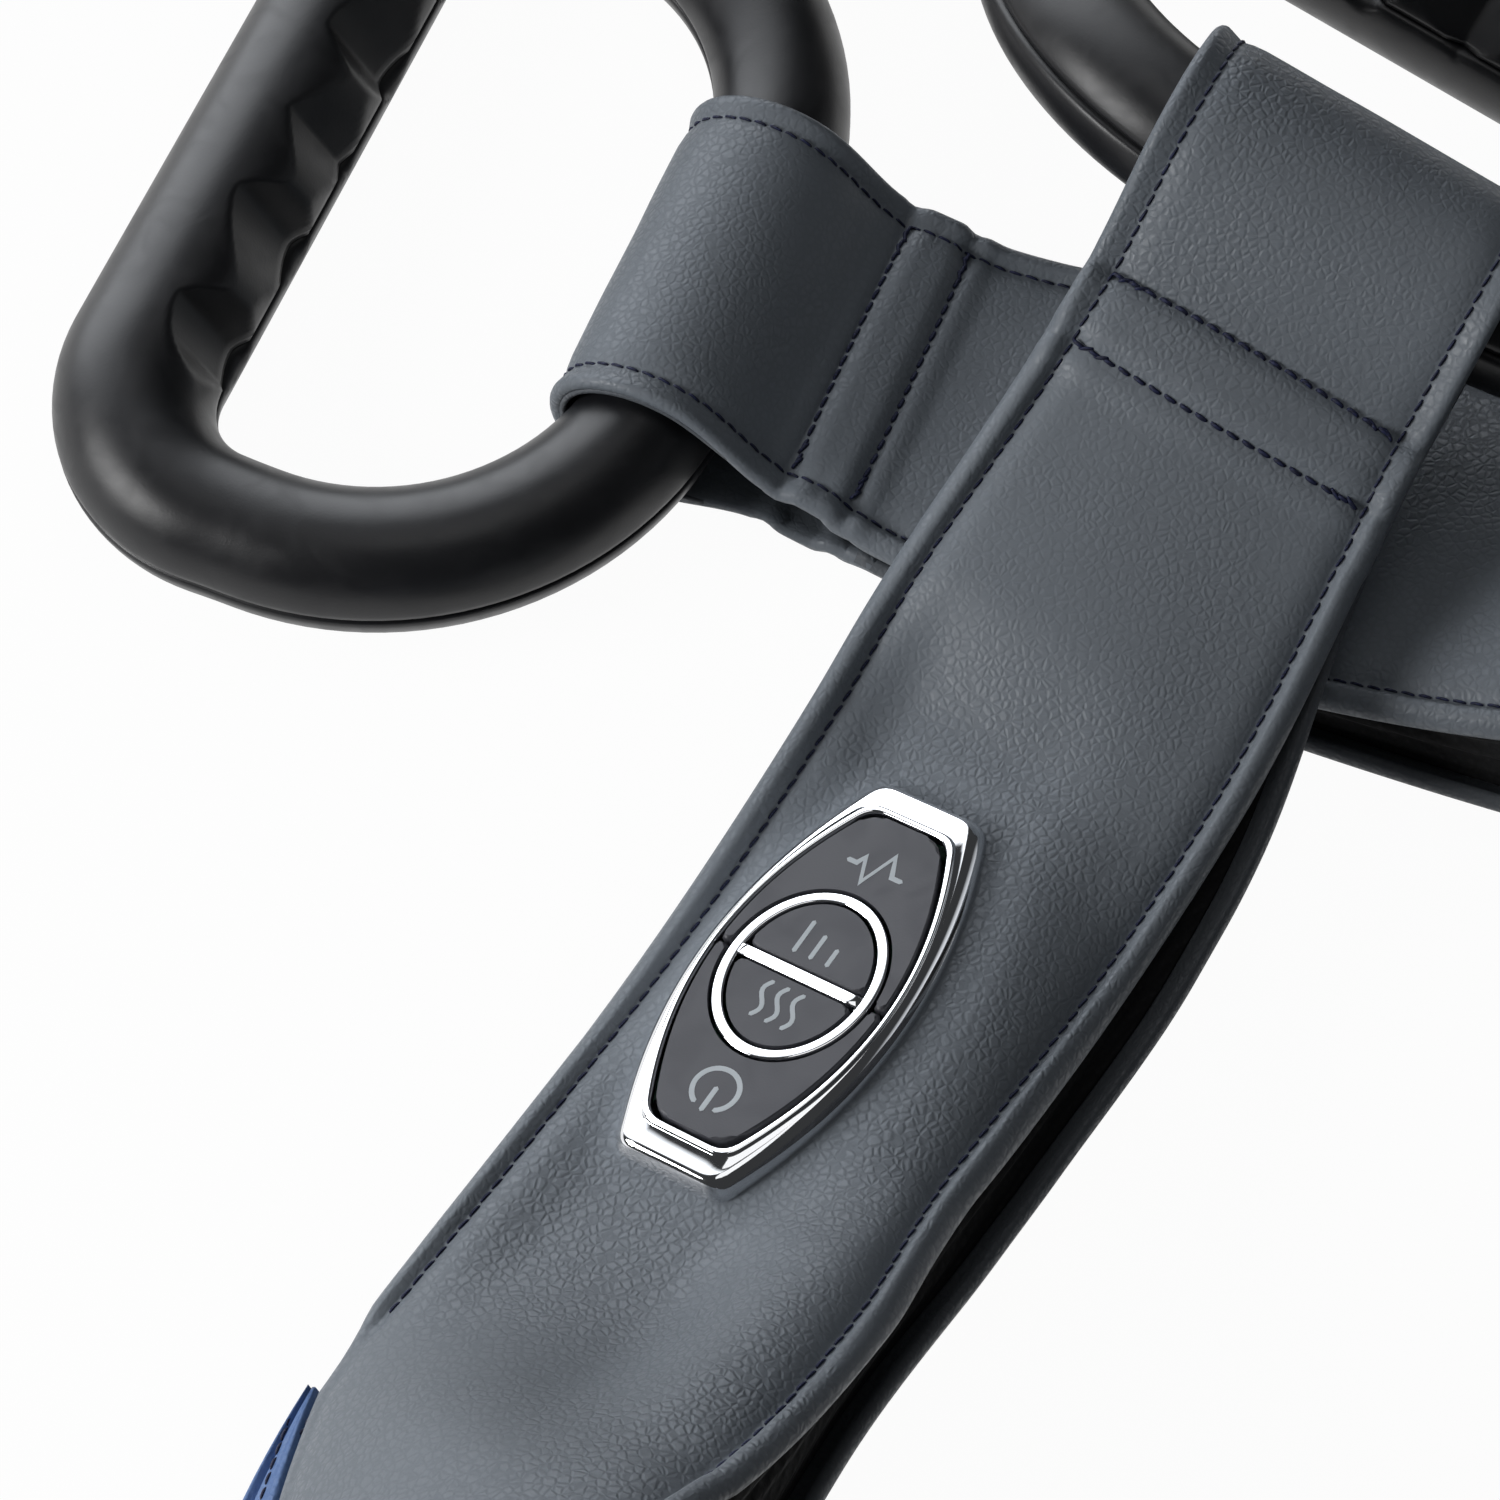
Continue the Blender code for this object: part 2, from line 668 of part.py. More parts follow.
def panel_ring(name, sides, mat):
    """Closed band: each side is a list of ((x, y) outline, z) from bottom to top."""
    outer, inner = sides
    rows = []
    for i in range(len(outer[0][0])):
        rows.append(([PANEL @ Vector((*pts[i], z)) for pts, z in outer],
                     [PANEL @ Vector((*pts[i], z)) for pts, z in inner]))
    return ribbon(name, rows, mat, closed=True)


def prism(name, points, low, high, mat, target=None):
    bm = bmesh.new()
    base = bm.faces.new([bm.verts.new(PANEL @ Vector((x, y, low))) for x, y in points])
    top = bmesh.ops.extrude_face_region(bm, geom=[base])["geom"]
    shift = PANEL.to_3x3() @ Vector((0, 0, high - low))
    bmesh.ops.translate(bm, verts=[g for g in top if isinstance(g, bmesh.types.BMVert)], vec=shift)
    return finish(name, bm, mat, target)


BEZEL_FOOT = -2.2 * MM
mouth = outline(BEZEL_BAND, BEZEL_END_BAND)
panel_ring("control_bezel",
           ([(outline(0, 0), BEZEL_FOOT), (outline(0, 0), 0.8 * MM),
             (outline(BEZEL_SLOPE, BEZEL_SLOPE * 1.6), BEZEL_RISE)],
            [(mouth, BEZEL_FOOT), (mouth, 0.8 * MM), (mouth, BEZEL_RISE)]), chrome_mat)

HOUSING_TOP = BEZEL_FOOT - GAP
housing_line = outline(1 * MM, 1 * MM)
housing = prism("control_housing", housing_line, -HOUSING_DEPTH, HOUSING_TOP, housing_mat)
hollow = outline(2.6 * MM, 2.6 * MM)
cut = prism("housing_hollow", hollow, 1.6 * MM - HOUSING_DEPTH, 0.0, None, CUTTERS)
combine(housing, cut, 'DIFFERENCE')
for name, margin in (("left_arm_outer_panel", -GAP), ("left_arm_pad", -GAP)):
    pocket = prism(name + "_pocket", outline(margin, margin), -HOUSING_DEPTH - GAP, HOUSING_DEPTH, None,
                   CUTTERS)
    combine(bpy.data.objects[name], pocket, 'DIFFERENCE')

BOARD_LOW = 1.6 * MM - HOUSING_DEPTH + GAP
BOARD_TOP = BOARD_LOW + BOARD_THICK
board = prism("control_board", outline(3.2 * MM, 3.2 * MM), BOARD_LOW, BOARD_TOP, board_mat)
BUTTON_LOW = BOARD_TOP + 1.6 * MM + BUTTON_TRAVEL + GAP
for x in (-0.30, -0.09, 0.09, 0.30):
    cx = x * PANEL_LENGTH
    square = [(cx + a * 2 * MM, b * 2 * MM) for a, b in ((1, 1), (-1, 1), (-1, -1), (1, -1))]
    combine(board, prism("switch_block", square, BOARD_TOP - 0.5 * MM, BOARD_TOP + 1.6 * MM, None, CUTTERS),
            'UNION')

RING_HALF = PANEL_WIDTH / 2 - BEZEL_BAND - RING_MARGIN
turns = [2 * math.pi * i / 32 for i in range(32)]


def oval(inset):
    """Outline of the chrome ring, longer along the panel, taken in by inset."""
    return [((RING_HALF * RING_STRETCH - inset) * math.cos(a), (RING_HALF - inset) * math.sin(a)) for a in turns]


ring = panel_ring("control_ring", ([(oval(0), BUTTON_LOW), (oval(0), BEZEL_RISE)],
                                   [(oval(RING_BAND), BUTTON_LOW), (oval(RING_BAND), BEZEL_RISE)]), chrome_mat)
reach_y = RING_HALF - RING_BAND / 2
bar = [(a * BAR_BAND / 2, b * reach_y) for a, b in ((1, 1), (-1, 1), (-1, -1), (1, -1))]
combine(ring, prism("ring_bar", bar, BUTTON_LOW + 0.3 * MM, BEZEL_RISE - 0.3 * MM, None, CUTTERS), 'UNION')
leg = [(a * BAR_BAND * 0.4, b * reach_y * 0.5) for a, b in ((1, 1), (-1, 1), (-1, -1), (1, -1))]
combine(ring, prism("ring_leg", leg, BOARD_TOP + GAP, BUTTON_LOW + 1 * MM, None, CUTTERS), 'UNION')

BUTTON_TOP = BEZEL_RISE + 0.3 * MM


def raised(x, y):
    return [PANEL @ Vector((x, y, z)) for z in (BUTTON_LOW, BUTTON_TOP)]


def end_button(name, sign):
    """Button between the bezel's mouth and the chrome ring; the two meet beside the cross-bar."""
    inset = BEZEL_BAND + BUTTON_GAP
    limit = outline(inset, BEZEL_END_BAND + BUTTON_GAP)
    ordered = [p for p in limit if p[0] * sign > 1.2 * MM]
    ordered += [(sign * BUTTON_GAP, side * (PANEL_WIDTH / 2 - inset)) for side in (1, -1)]
    ordered.sort(key=lambda p: math.atan2(p[1], p[0] * sign))
    rows = []
    across = RING_HALF + BUTTON_GAP
    along = RING_HALF * RING_STRETCH + BUTTON_GAP
    for x, y in ordered:
        scale = 1 / math.hypot(x / along, y / across)
        rows.append((raised(x, y), raised(max(BUTTON_GAP, x * sign * scale) * sign, y * scale)))
    return pivot(ribbon(name, rows, button_mat), PANEL)


def half_button(name, sign):
    """Half-oval button inside the chrome ring, beside its cross-bar."""
    inset, flat = RING_BAND + BUTTON_GAP, BAR_BAND / 2 + BUTTON_GAP
    across, along = RING_HALF - inset, RING_HALF * RING_STRETCH - inset
    rows = []
    reach = math.acos((flat + 0.8 * MM) / along)
    for i in range(13):
        a = reach * (1 - 2 * i / 12)
        x, y = along * math.cos(a), across * math.sin(a)
        rows.append((raised(x * sign, y), raised(flat * sign, y)))
    return pivot(ribbon(name, rows, button_mat), PANEL)


end_button("mode_button", 1)
end_button("power_button", -1)
half_button("level_button", 1)
half_button("heat_button", -1)

# Massage unit
unit_mat = material("unit_plastic", WHITE_PLASTIC, 0.5)
steel_mat = material("steel", STEEL, 0.3, 1.0)
brass_mat = material("brass", BRASS, 0.35, 1.0)
gear_mat = material("gear_plastic", (0.75, 0.73, 0.66), 0.5)
node_mat = material("node_plastic", (0.10, 0.10, 0.11), 0.5)
pale_foam_mat = material("pale_foam", FOAM, 0.9)

COVER_BACK = UNIT_FRONT
COVER_FRONT = UNIT_FRONT - 2.5 * MM
base = block("unit_base", (-UNIT_HALF, COVER_BACK + GAP, UNIT_LOW), (UNIT_HALF, UNIT_BACK, UNIT_HIGH),
             unit_mat, 1, 8 * MM)
combine(base, block("unit_hollow", (-UNIT_HALF + UNIT_WALL, COVER_BACK - 5 * MM, UNIT_LOW + UNIT_WALL),
                    (UNIT_HALF - UNIT_WALL, UNIT_BACK - UNIT_WALL, UNIT_HIGH - UNIT_WALL), None, 1,
                    6 * MM, CUTTERS), 'DIFFERENCE')
cover = block("unit_cover", (-UNIT_HALF, COVER_FRONT, UNIT_LOW), (UNIT_HALF, COVER_BACK, UNIT_HIGH),
              unit_mat, 1, 8 * MM)
block("back_foam", (-UNIT_HALF + 4 * MM, UNIT_BACK + GAP, UNIT_LOW + 6 * MM),
      (UNIT_HALF - 4 * MM, BODY_EDGE / 2 + BODY_CROWN * 0.62 - SKIN, UNIT_HIGH - 6 * MM), pale_foam_mat)


def rod(name, radius, x, z, y0, y1, mat, target=None, steps=12):
    """Cylinder along Y from y0 to y1."""
    bm = bmesh.new()
    bmesh.ops.create_cone(bm, cap_ends=True, segments=steps, radius1=radius, radius2=radius,
                          depth=y1 - y0, matrix=facing((x, (y0 + y1) / 2, z), (0, 1, 0), (1, 0, 0)))
    return finish(name, bm, mat, target)


BORE = OUTPUT_SHAFT_RADIUS + GAP
BOSS = OUTPUT_SHAFT_RADIUS + 4 * MM
BACK_BOSS = WHEEL_Y + WHEEL_FACE / 2 + 1 * MM
FRONT_BOSS = WHEEL_Y - WHEEL_FACE / 2 - 1 * MM
SHAFT_BACK = UNIT_BACK - UNIT_WALL - 1 * MM
SCREW_X = UNIT_HALF - SCREW_INSET
SCREW_Z = UNIT_HEIGHT / 2 - SCREW_INSET
SCREW_RADIUS = 1.5 * MM

for x in (-ROTOR_PITCH / 2, ROTOR_PITCH / 2):
    for case, low, high, bore_low, bore_high in (
            (base, BACK_BOSS, UNIT_BACK - UNIT_WALL / 2, BACK_BOSS - 5 * MM, SHAFT_BACK + GAP),
            (cover, COVER_BACK - 1 * MM, FRONT_BOSS, COVER_FRONT - 5 * MM, FRONT_BOSS + 5 * MM)):
        boss = rod("bearing_boss", BOSS, x, ROTOR_Z, low, high, None, CUTTERS, 16)
        bore = rod("bearing_bore", BORE, x, ROTOR_Z, bore_low, bore_high, None, CUTTERS, 16)
        combine(case, boss, 'UNION')
        combine(case, bore, 'DIFFERENCE')
for x in (-MOTOR_LENGTH / 3, MOTOR_LENGTH / 3):
    saddle = block("motor_saddle", (x - 3 * MM, WHEEL_Y + MOTOR_RADIUS + GAP, WORM_Z - MOTOR_SADDLE / 2),
                   (x + 3 * MM, UNIT_BACK - UNIT_WALL / 2, WORM_Z + MOTOR_SADDLE / 2), None, target=CUTTERS)
    combine(base, saddle, 'UNION')
corners = [(x, z) for x in (-1, 1) for z in (-1, 1)]
HOLE = SCREW_RADIUS + GAP
HEAD, HEAD_THICK = 3 * MM, 1.6 * MM
for number, (sx, sz) in enumerate(corners, 1):
    x, z = sx * SCREW_X, BODY_MID + sz * SCREW_Z
    post = rod("screw_post", 4.5 * MM, x, z, COVER_BACK + GAP, UNIT_BACK - UNIT_WALL / 2, None, CUTTERS)
    pilot = rod("screw_pilot", HOLE, x, z, COVER_BACK - 3 * MM, COVER_BACK + SCREW_LENGTH, None, CUTTERS)
    hole = rod("screw_hole", HOLE, x, z, COVER_FRONT - 3 * MM, COVER_BACK + 3 * MM, None, CUTTERS)
    combine(base, post, 'UNION')
    combine(base, pilot, 'DIFFERENCE')
    combine(cover, hole, 'DIFFERENCE')
    turned("case_screw_%d" % number, [(0, 0), (HEAD, 0), (HEAD, HEAD_THICK), (SCREW_RADIUS, HEAD_THICK),
                                      (SCREW_RADIUS, SCREW_LENGTH), (0, SCREW_LENGTH)],
           facing((x, COVER_FRONT - GAP - HEAD_THICK, z), (0, 1, 0), (1, 0, 0)), steel_mat, 10)

# Motor and worm drive
motor_place = facing((-MOTOR_LENGTH / 2, WHEEL_Y, WORM_Z), (1, 0, 0), (0, 1, 0))
motor_bore = MOTOR_SHAFT_RADIUS + GAP
turned("motor", [(motor_bore, 0), (5 * MM, 0), (5 * MM, 2 * MM), (MOTOR_RADIUS, 2 * MM),
                 (MOTOR_RADIUS, MOTOR_LENGTH - 2 * MM), (5 * MM, MOTOR_LENGTH - 2 * MM),
                 (5 * MM, MOTOR_LENGTH), (motor_bore, MOTOR_LENGTH)], motor_place, steel_mat, 20)
SHAFT_HALF = ROTOR_PITCH / 2 + WORM_LENGTH / 2 + 4 * MM
drive_axis = Matrix.Translation((0, WHEEL_Y, WORM_Z))
pivot(turned("motor_shaft", [(0, 0), (MOTOR_SHAFT_RADIUS, 0), (MOTOR_SHAFT_RADIUS, 2 * SHAFT_HALF),
                             (0, 2 * SHAFT_HALF)],
             facing((-SHAFT_HALF, WHEEL_Y, WORM_Z), (1, 0, 0), (0, 1, 0)), steel_mat, 10), drive_axis)

THREAD_PITCH = math.pi * MODULE
ADDENDUM = 0.8 * MODULE
DEDENDUM = 1.1 * MODULE
FLANK = math.tan(math.radians(20))


def thread_radius(offset):
    """Worm radius at an axial distance from the nearest thread centre."""
    d = abs((offset + THREAD_PITCH / 2) % THREAD_PITCH - THREAD_PITCH / 2)
    over = (TOOTH_WIDTH / 2 - d) / FLANK
    return WORM_RADIUS + clamp(over, -DEDENDUM, ADDENDUM)


def worm(name, x, hand):
    """Single-start worm along X whose thread faces the wheel below it at the middle."""
    steps, rings = 12, round(WORM_LENGTH / THREAD_PITCH * 6)
    bm = bmesh.new()

    def spot(at, angle, r):
        return bm.verts.new((x + at, WHEEL_Y + r * math.cos(angle), WORM_Z + r * math.sin(angle)))

    grid, bores = [], []
    for i in range(rings + 1):
        at = WORM_LENGTH * (i / rings - 0.5)
        row = []
        for j in range(steps):
            angle = 2 * math.pi * j / steps
            lead = THREAD_PITCH * (angle + math.pi / 2) / (2 * math.pi) * hand
            row.append(spot(at, angle, thread_radius(at - lead)))
        grid.append(row)
    for at in (-WORM_LENGTH / 2, WORM_LENGTH / 2):
        bores.append([spot(at, 2 * math.pi * j / steps, motor_bore) for j in range(steps)])
    grid = [bores[0]] + grid + [bores[1]]
    for a, b in zip(grid, grid[1:] + grid[:1]):
        for j in range(steps):
            k = (j + 1) % steps
            bm.faces.new((a[j], a[k], b[k], b[j]))
    return pivot(finish(name, bm, brass_mat), drive_axis)


def wheel(name, x):
    """Worm wheel about a Y axis with a tooth gap straight up."""
    tooth = 2 * math.pi / WHEEL_TEETH
    half = TOOTH_WIDTH / 2
    tip, root = WHEEL_RADIUS + ADDENDUM, WHEEL_RADIUS - DEDENDUM
    spread = ((-half - DEDENDUM * FLANK, root), (-half + ADDENDUM * FLANK, tip),
              (half - ADDENDUM * FLANK, tip), (half + DEDENDUM * FLANK, root))
    front, back = WHEEL_Y - WHEEL_FACE / 2, WHEEL_Y + WHEEL_FACE / 2
    rows = []
    for i in range(WHEEL_TEETH):
        for offset, r in spread:
            a = math.pi / 2 + tooth * (i + 0.5) + offset / WHEEL_RADIUS
            c, s = math.cos(a), math.sin(a)
            rows.append(([Vector((x + r * c, y, ROTOR_Z + r * s)) for y in (front, back)],
                         [Vector((x + BORE * c, y, ROTOR_Z + BORE * s)) for y in (front, back)]))
    return ribbon(name, rows, gear_mat, closed=True)


def kneading_node(name, x, angle, radius, tall):
    cx, cz = x + ORBIT_RADIUS * math.cos(angle), ROTOR_Z + ORBIT_RADIUS * math.sin(angle)
    neck, ball = radius * 0.72, tall - radius
    dome = [(radius * math.cos(math.radians(a)), ball + radius * math.sin(math.radians(a)))
            for a in (0, 30, 58)]
    profile = [(0, 0), (neck, 0), (neck, ball * 0.35)] + dome + [(0, tall)]
    return turned(name, profile, facing((cx, PLATE_Y - GAP, cz), (0, -1, 0), (1, 0, 0)), node_mat, 12)


PLATE_THICK = 4 * MM
HUB = BORE + 3 * MM
HUB_TOP = PLATE_THICK + 1 * MM
PLATE_SKIN = 0.9 * MM
BIG, LITTLE = (LARGE_NODE, LARGE_NODE_HEIGHT), (SMALL_NODE, SMALL_NODE_HEIGHT)
NODES = (("outer_large", 0, *BIG), ("upper_small", 90, *LITTLE),
         ("inner_large", 180, *BIG), ("lower_small", 270, *LITTLE))
for side, name in ((1, "left"), (-1, "right")):
    x = side * ROTOR_PITCH / 2
    rotor_axis = Matrix.Translation((x, 0, ROTOR_Z))
    worm(name + "_worm", x, side)
    shaft = rod(name + "_output_shaft", OUTPUT_SHAFT_RADIUS, x, ROTOR_Z, PLATE_Y + 1.2 * MM, SHAFT_BACK,
                steel_mat, steps=16)
    hub = [(0, 0), (ROTOR_RADIUS, 0), (ROTOR_RADIUS, PLATE_THICK), (HUB, PLATE_THICK), (HUB, HUB_TOP),
           (BORE, HUB_TOP), (BORE, PLATE_SKIN), (0, PLATE_SKIN)]
    plate = turned(name + "_rotor_plate", hub, facing((x, PLATE_Y, ROTOR_Z), (0, 1, 0), (1, 0, 0)),
                   unit_mat, 24)
    turning = [wheel(name + "_worm_wheel", x), shaft, plate]
    for spot_name, turn, radius, tall in NODES:
        angle = math.radians(turn if side > 0 else 180 - turn)
        turning.append(kneading_node("%s_%s_node" % (name, spot_name), x, angle, radius, tall))
    for piece in turning:
        pivot(piece, rotor_axis)

BOARD_BACK = UNIT_BACK - UNIT_WALL - GAP
block("main_board", (-MAIN_BOARD_WIDTH / 2, BOARD_BACK - BOARD_THICK, UNIT_LOW + UNIT_MARGIN),
      (MAIN_BOARD_WIDTH / 2, BOARD_BACK, WORM_Z - MOTOR_SADDLE / 2 - UNIT_WALL), board_mat)

# Power inlet low on the back
SOCKET_V = -0.42
socket_at = band(0.0, SOCKET_V, surface(0.0, SOCKET_V))
socket_place = facing(socket_at, (0, 1, 0), (1, 0, 0))
PIN, BARREL = 1.0 * MM, 2.8 * MM
FLANGE, SEAT = SOCKET_RADIUS + 2.5 * MM, 1.6 * MM
RIM, WELL = SEAT + 1.5 * MM, 2 * MM - SOCKET_DEPTH
turned("dc_socket", [(0, -SOCKET_DEPTH), (SOCKET_RADIUS, -SOCKET_DEPTH), (SOCKET_RADIUS, SEAT),
                     (FLANGE, SEAT), (FLANGE, RIM), (BARREL, RIM), (BARREL, WELL), (PIN, WELL),
                     (PIN, 0.0), (0, 0.0)], socket_place, housing_mat, 12)
HOLE_FLOOR, HOLE_RADIUS = -SOCKET_DEPTH - 1 * MM, SOCKET_RADIUS + GAP
for name in ("back_cover", "back_foam"):
    hole = turned(name + "_hole", [(0, HOLE_FLOOR), (HOLE_RADIUS, HOLE_FLOOR), (HOLE_RADIUS, SOCKET_DEPTH),
                                   (0, SOCKET_DEPTH)], socket_place, None, 20, CUTTERS)
    combine(bpy.data.objects[name], hole, 'DIFFERENCE')
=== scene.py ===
"""Looks of the neck massager: leather arms, ring handles, control panel and collar over the solids."""
import bisect
from math import acos, atan2, copysign, cos, exp, hypot, pi, radians, sin, sqrt, tan

import bmesh
import bpy
from mathutils import Matrix, Vector, noise


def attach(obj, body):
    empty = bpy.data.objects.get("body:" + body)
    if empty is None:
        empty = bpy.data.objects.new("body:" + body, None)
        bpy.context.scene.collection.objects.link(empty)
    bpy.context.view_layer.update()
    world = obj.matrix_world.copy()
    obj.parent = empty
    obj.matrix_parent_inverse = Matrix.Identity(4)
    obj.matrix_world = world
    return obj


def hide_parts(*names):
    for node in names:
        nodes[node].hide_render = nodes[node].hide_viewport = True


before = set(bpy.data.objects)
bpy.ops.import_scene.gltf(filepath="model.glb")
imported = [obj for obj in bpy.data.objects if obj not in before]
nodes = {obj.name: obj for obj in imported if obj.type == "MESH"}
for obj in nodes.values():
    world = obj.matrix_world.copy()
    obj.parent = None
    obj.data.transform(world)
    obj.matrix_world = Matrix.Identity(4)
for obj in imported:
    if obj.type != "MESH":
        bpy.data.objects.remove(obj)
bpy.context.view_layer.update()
scene = bpy.context.scene
MM = 0.001
SIDES = ((1, "left"), (-1, "right"))


def mm(*lengths):
    """Lengths in metres from millimetres."""
    return [length * MM for length in lengths]


# Band sizes, as in the solids
GAP, SKIN, EDGE_RECESS, FLOOR_CLEAR = mm(0.3, 2.5, 3, 0.5)
HALF_LENGTH, BODY_STRAIGHT, BEND_RADIUS = mm(598, 166, 99)
LEFT_TURN, RIGHT_TURN, END_ROLL = 147.6, 130.8, -6.8
BODY_HEIGHT, STRAP_WIDTH, LOOP_WIDTH = mm(150, 75, 65)
BODY_EDGE, STRAP_EDGE, BODY_CROWN, STRAP_CROWN = mm(72, 10, 11, 1.5)
TWIST_START, TWIST_END, TAPER_START = mm(110, 487, 190)
LEFT_TAPER_END, RIGHT_TAPER_END, SWELL_END = mm(478, 526, 340)
TAPER_POWER, LIFT_POWER, LIFT_START = 1.25, 1.4, 402 * MM
CROSS_CLEAR, CROSS_SHARE, SETTLE_SHARE = 5.0 * MM, 0.53, 0.6
STEP, LAP, LOOP_PLAY, LOOP_NECK = mm(17.5, 17.5, 1.2, 7)
SEAM_ROOT, SEAM_TIP, FRONT_SEAM, CAVITY_END = 12 * STEP, 19 * STEP, 14 * STEP, 6 * STEP
TUBE_RADIUS, GRIP_RADIUS, GRIP_OFFSET, BAR_HALF = mm(12.5, 15, 87, 21)
SHOULDER_RADIUS, CORNER_RADIUS = mm(54, 25)
ROTOR_PITCH, ROTOR_RADIUS, ROTOR_DROP, UNIT_HEIGHT = mm(88, 31, 5, 84)
HALF_BODY, BODY_MID = BODY_STRAIGHT / 2, BODY_HEIGHT / 2 + FLOOR_CLEAR
SHOULDER_BOW = SHOULDER_RADIUS - sqrt(SHOULDER_RADIUS ** 2 - (LOOP_WIDTH / 2 - BAR_HALF) ** 2)
LOOP_INNER = TUBE_RADIUS + SHOULDER_BOW + LOOP_PLAY
LOOP_OUTER = LOOP_INNER + SKIN
BAR_AT = HALF_LENGTH - LOOP_OUTER
ARM_END = BAR_AT - LOOP_INNER - LOOP_NECK
LAP_START = ARM_END - LAP

# Sewing
FINE, SKIN_DEEP = mm(2.2, 2.0)
STITCH_INSET, STITCH_LONG, STITCH_PITCH, THREAD = mm(5.0, 2.35, 3.0, 0.26)
ROW_THREAD, TACK_THREAD, TACK_POINTS = 0.38 * MM, 0.36 * MM, 5
ARM_BEAD, LOOP_BEAD, BEAD_RISE = mm(2.6, 1.5, 0.7)
ROW_NEAR, ROW_FAR = HALF_LENGTH - 42 * MM, HALF_LENGTH - 54.5 * MM
GROOVE, PILLOW, RIGHT_PILLOW = mm(-1.35, 2.0, 0.6)
LOOP_FROM, LOOP_TURN = ROW_FAR - 8 * MM, 112.0
LINING_INSET, LINING_BEAD, LINING_DEEP, LINING_FROM = 1.9 * MM, 0.45, 0.2 * MM, ROW_NEAR + 10 * MM

# Relief of the leather: height of each wave and its size, puckers by the stitches, rows of the lap
WAVE, WAVE_SIZE, RIPPLE, RIPPLE_SIZE = mm(0.22, 30, 0.10, 11)
PUCKER, PUCKER_REACH, RELIEF_FADE = mm(0.10, 2.4, 3.0)
LAP_RISE, FAR_ROW_DIP, NEAR_ROW_DIP = mm(2.5, 1.5, 1.7)

# Crease past the panel's upper end: its middle in the panel's frame, a ridge and a valley beside it
CREASE_X, CREASE_Y, RIDGE, VALLEY, VALLEY_AT = mm(46, -6, 0.5, 0.4, 6)

# Left arm's inner edge, as (start, full, fade, end) runs along the arm
TUCK, TUCK_RUN = 3.6 * MM, mm(375, 410, 425, 560)
SPREAD, SPREAD_RUN = 6.0 * MM, mm(240, 300, 335, 395)
FLARE, FLARE_RUN = 4.0 * MM, mm(410, 465, 475, 530)
DRAW, DRAW_RUN = 5.0 * MM, mm(250, 310, 365, 425)

# Handle grips
FINGER_PITCH, SCOOP_DEPTH, CUSP_DEPTH, SCOOP_TILT = 24 * MM, 3.6 * MM, 0.4 * MM, radians(32)
SCOOP_END, CUSP_FADE, UNDER_TILT = 2.5, (2.0, 2.8), 0.6
PARTING_FILLET, PARTING_RISE, PARTING_GAP = mm(0.45, 1.2, 0.12)


def clamp(x, low=0.0, high=1.0):
    return max(low, min(high, x))


def smooth(a, b, x):
    t = clamp((x - a) / (b - a))
    return t * t * (3 - 2 * t)


def between(x, start, full, fade, end):
    """Share that rises from start to full and falls again from fade to end."""
    return smooth(start, full, x) * (1 - smooth(fade, end, x))


def bump(x, centre, half):
    return exp(-((x - centre) / half) ** 2)


def range_steps(start, end, step):
    count = max(1, round(abs(end - start) / step))
    return [start + (end - start) * i / count for i in range(count + 1)]


# Band shape: s runs along the band from the middle of the body, left arm positive
def side_of(s):
    return 1 if s >= 0 else -1


def plan(s):
    u, side = abs(s), side_of(s)
    turn = radians(LEFT_TURN if side > 0 else RIGHT_TURN)
    phi = clamp((u - HALF_BODY) / BEND_RADIUS, 0.0, turn)
    heading = Vector((cos(phi), -sin(phi), 0))
    outward = Vector((sin(phi), cos(phi), 0))
    run = max(0.0, u - HALF_BODY - BEND_RADIUS * turn)
    spot = Vector((min(u, HALF_BODY) + BEND_RADIUS * sin(phi),
                   -BEND_RADIUS * (1 - cos(phi)), 0)) + heading * run
    flip = Vector((side, 1, 1))
    return spot * flip, heading * flip, outward * flip


def bulk(s):
    end = LEFT_TAPER_END if s > 0 else RIGHT_TAPER_END
    return clamp((end - abs(s)) / (end - TAPER_START)) ** TAPER_POWER


def width(u):
    swell = (BODY_HEIGHT - STRAP_WIDTH) * (1 - smooth(TWIST_START, SWELL_END, u))
    return STRAP_WIDTH + swell - (STRAP_WIDTH - LOOP_WIDTH) * smooth(TWIST_END, ARM_END, u)


def edge(s):
    return STRAP_EDGE + (BODY_EDGE - STRAP_EDGE) * bulk(s)


def crown(s):
    return STRAP_CROWN + (BODY_CROWN - STRAP_CROWN) * bulk(s)


def roll(s):
    u = abs(s)
    lean = 90 * (1 - smooth(TWIST_START, TWIST_END, u))
    if s > 0:
        lean += END_ROLL * smooth(TWIST_END, ARM_END, u)
    return radians(lean)


def rest_height(s):
    """Height of the band's middle when its lowest point rests just clear of the floor."""
    u, lean = abs(s), abs(roll(s))
    if lean > radians(89.9):
        return width(u) / 2 + FLOOR_CLEAR
    low = max(-1.0, -width(u) * tan(lean) / (4 * crown(s)))
    drop = low * width(u) / 2 * sin(lean)
    drop -= (edge(s) / 2 + crown(s) * (1 - low * low)) * cos(lean)
    return FLOOR_CLEAR - drop


def crossing():
    """Distances along the left and the right arm to the place where they cross in plan."""
    a, da, _ = plan(HALF_LENGTH)
    b, db, _ = plan(-HALF_LENGTH)
    det = da.x * -db.y + db.x * da.y
    gap = b - a
    left = (gap.x * -db.y + db.x * gap.y) / det
    right = (da.x * gap.y - da.y * gap.x) / det
    return HALF_LENGTH + left, HALF_LENGTH + right


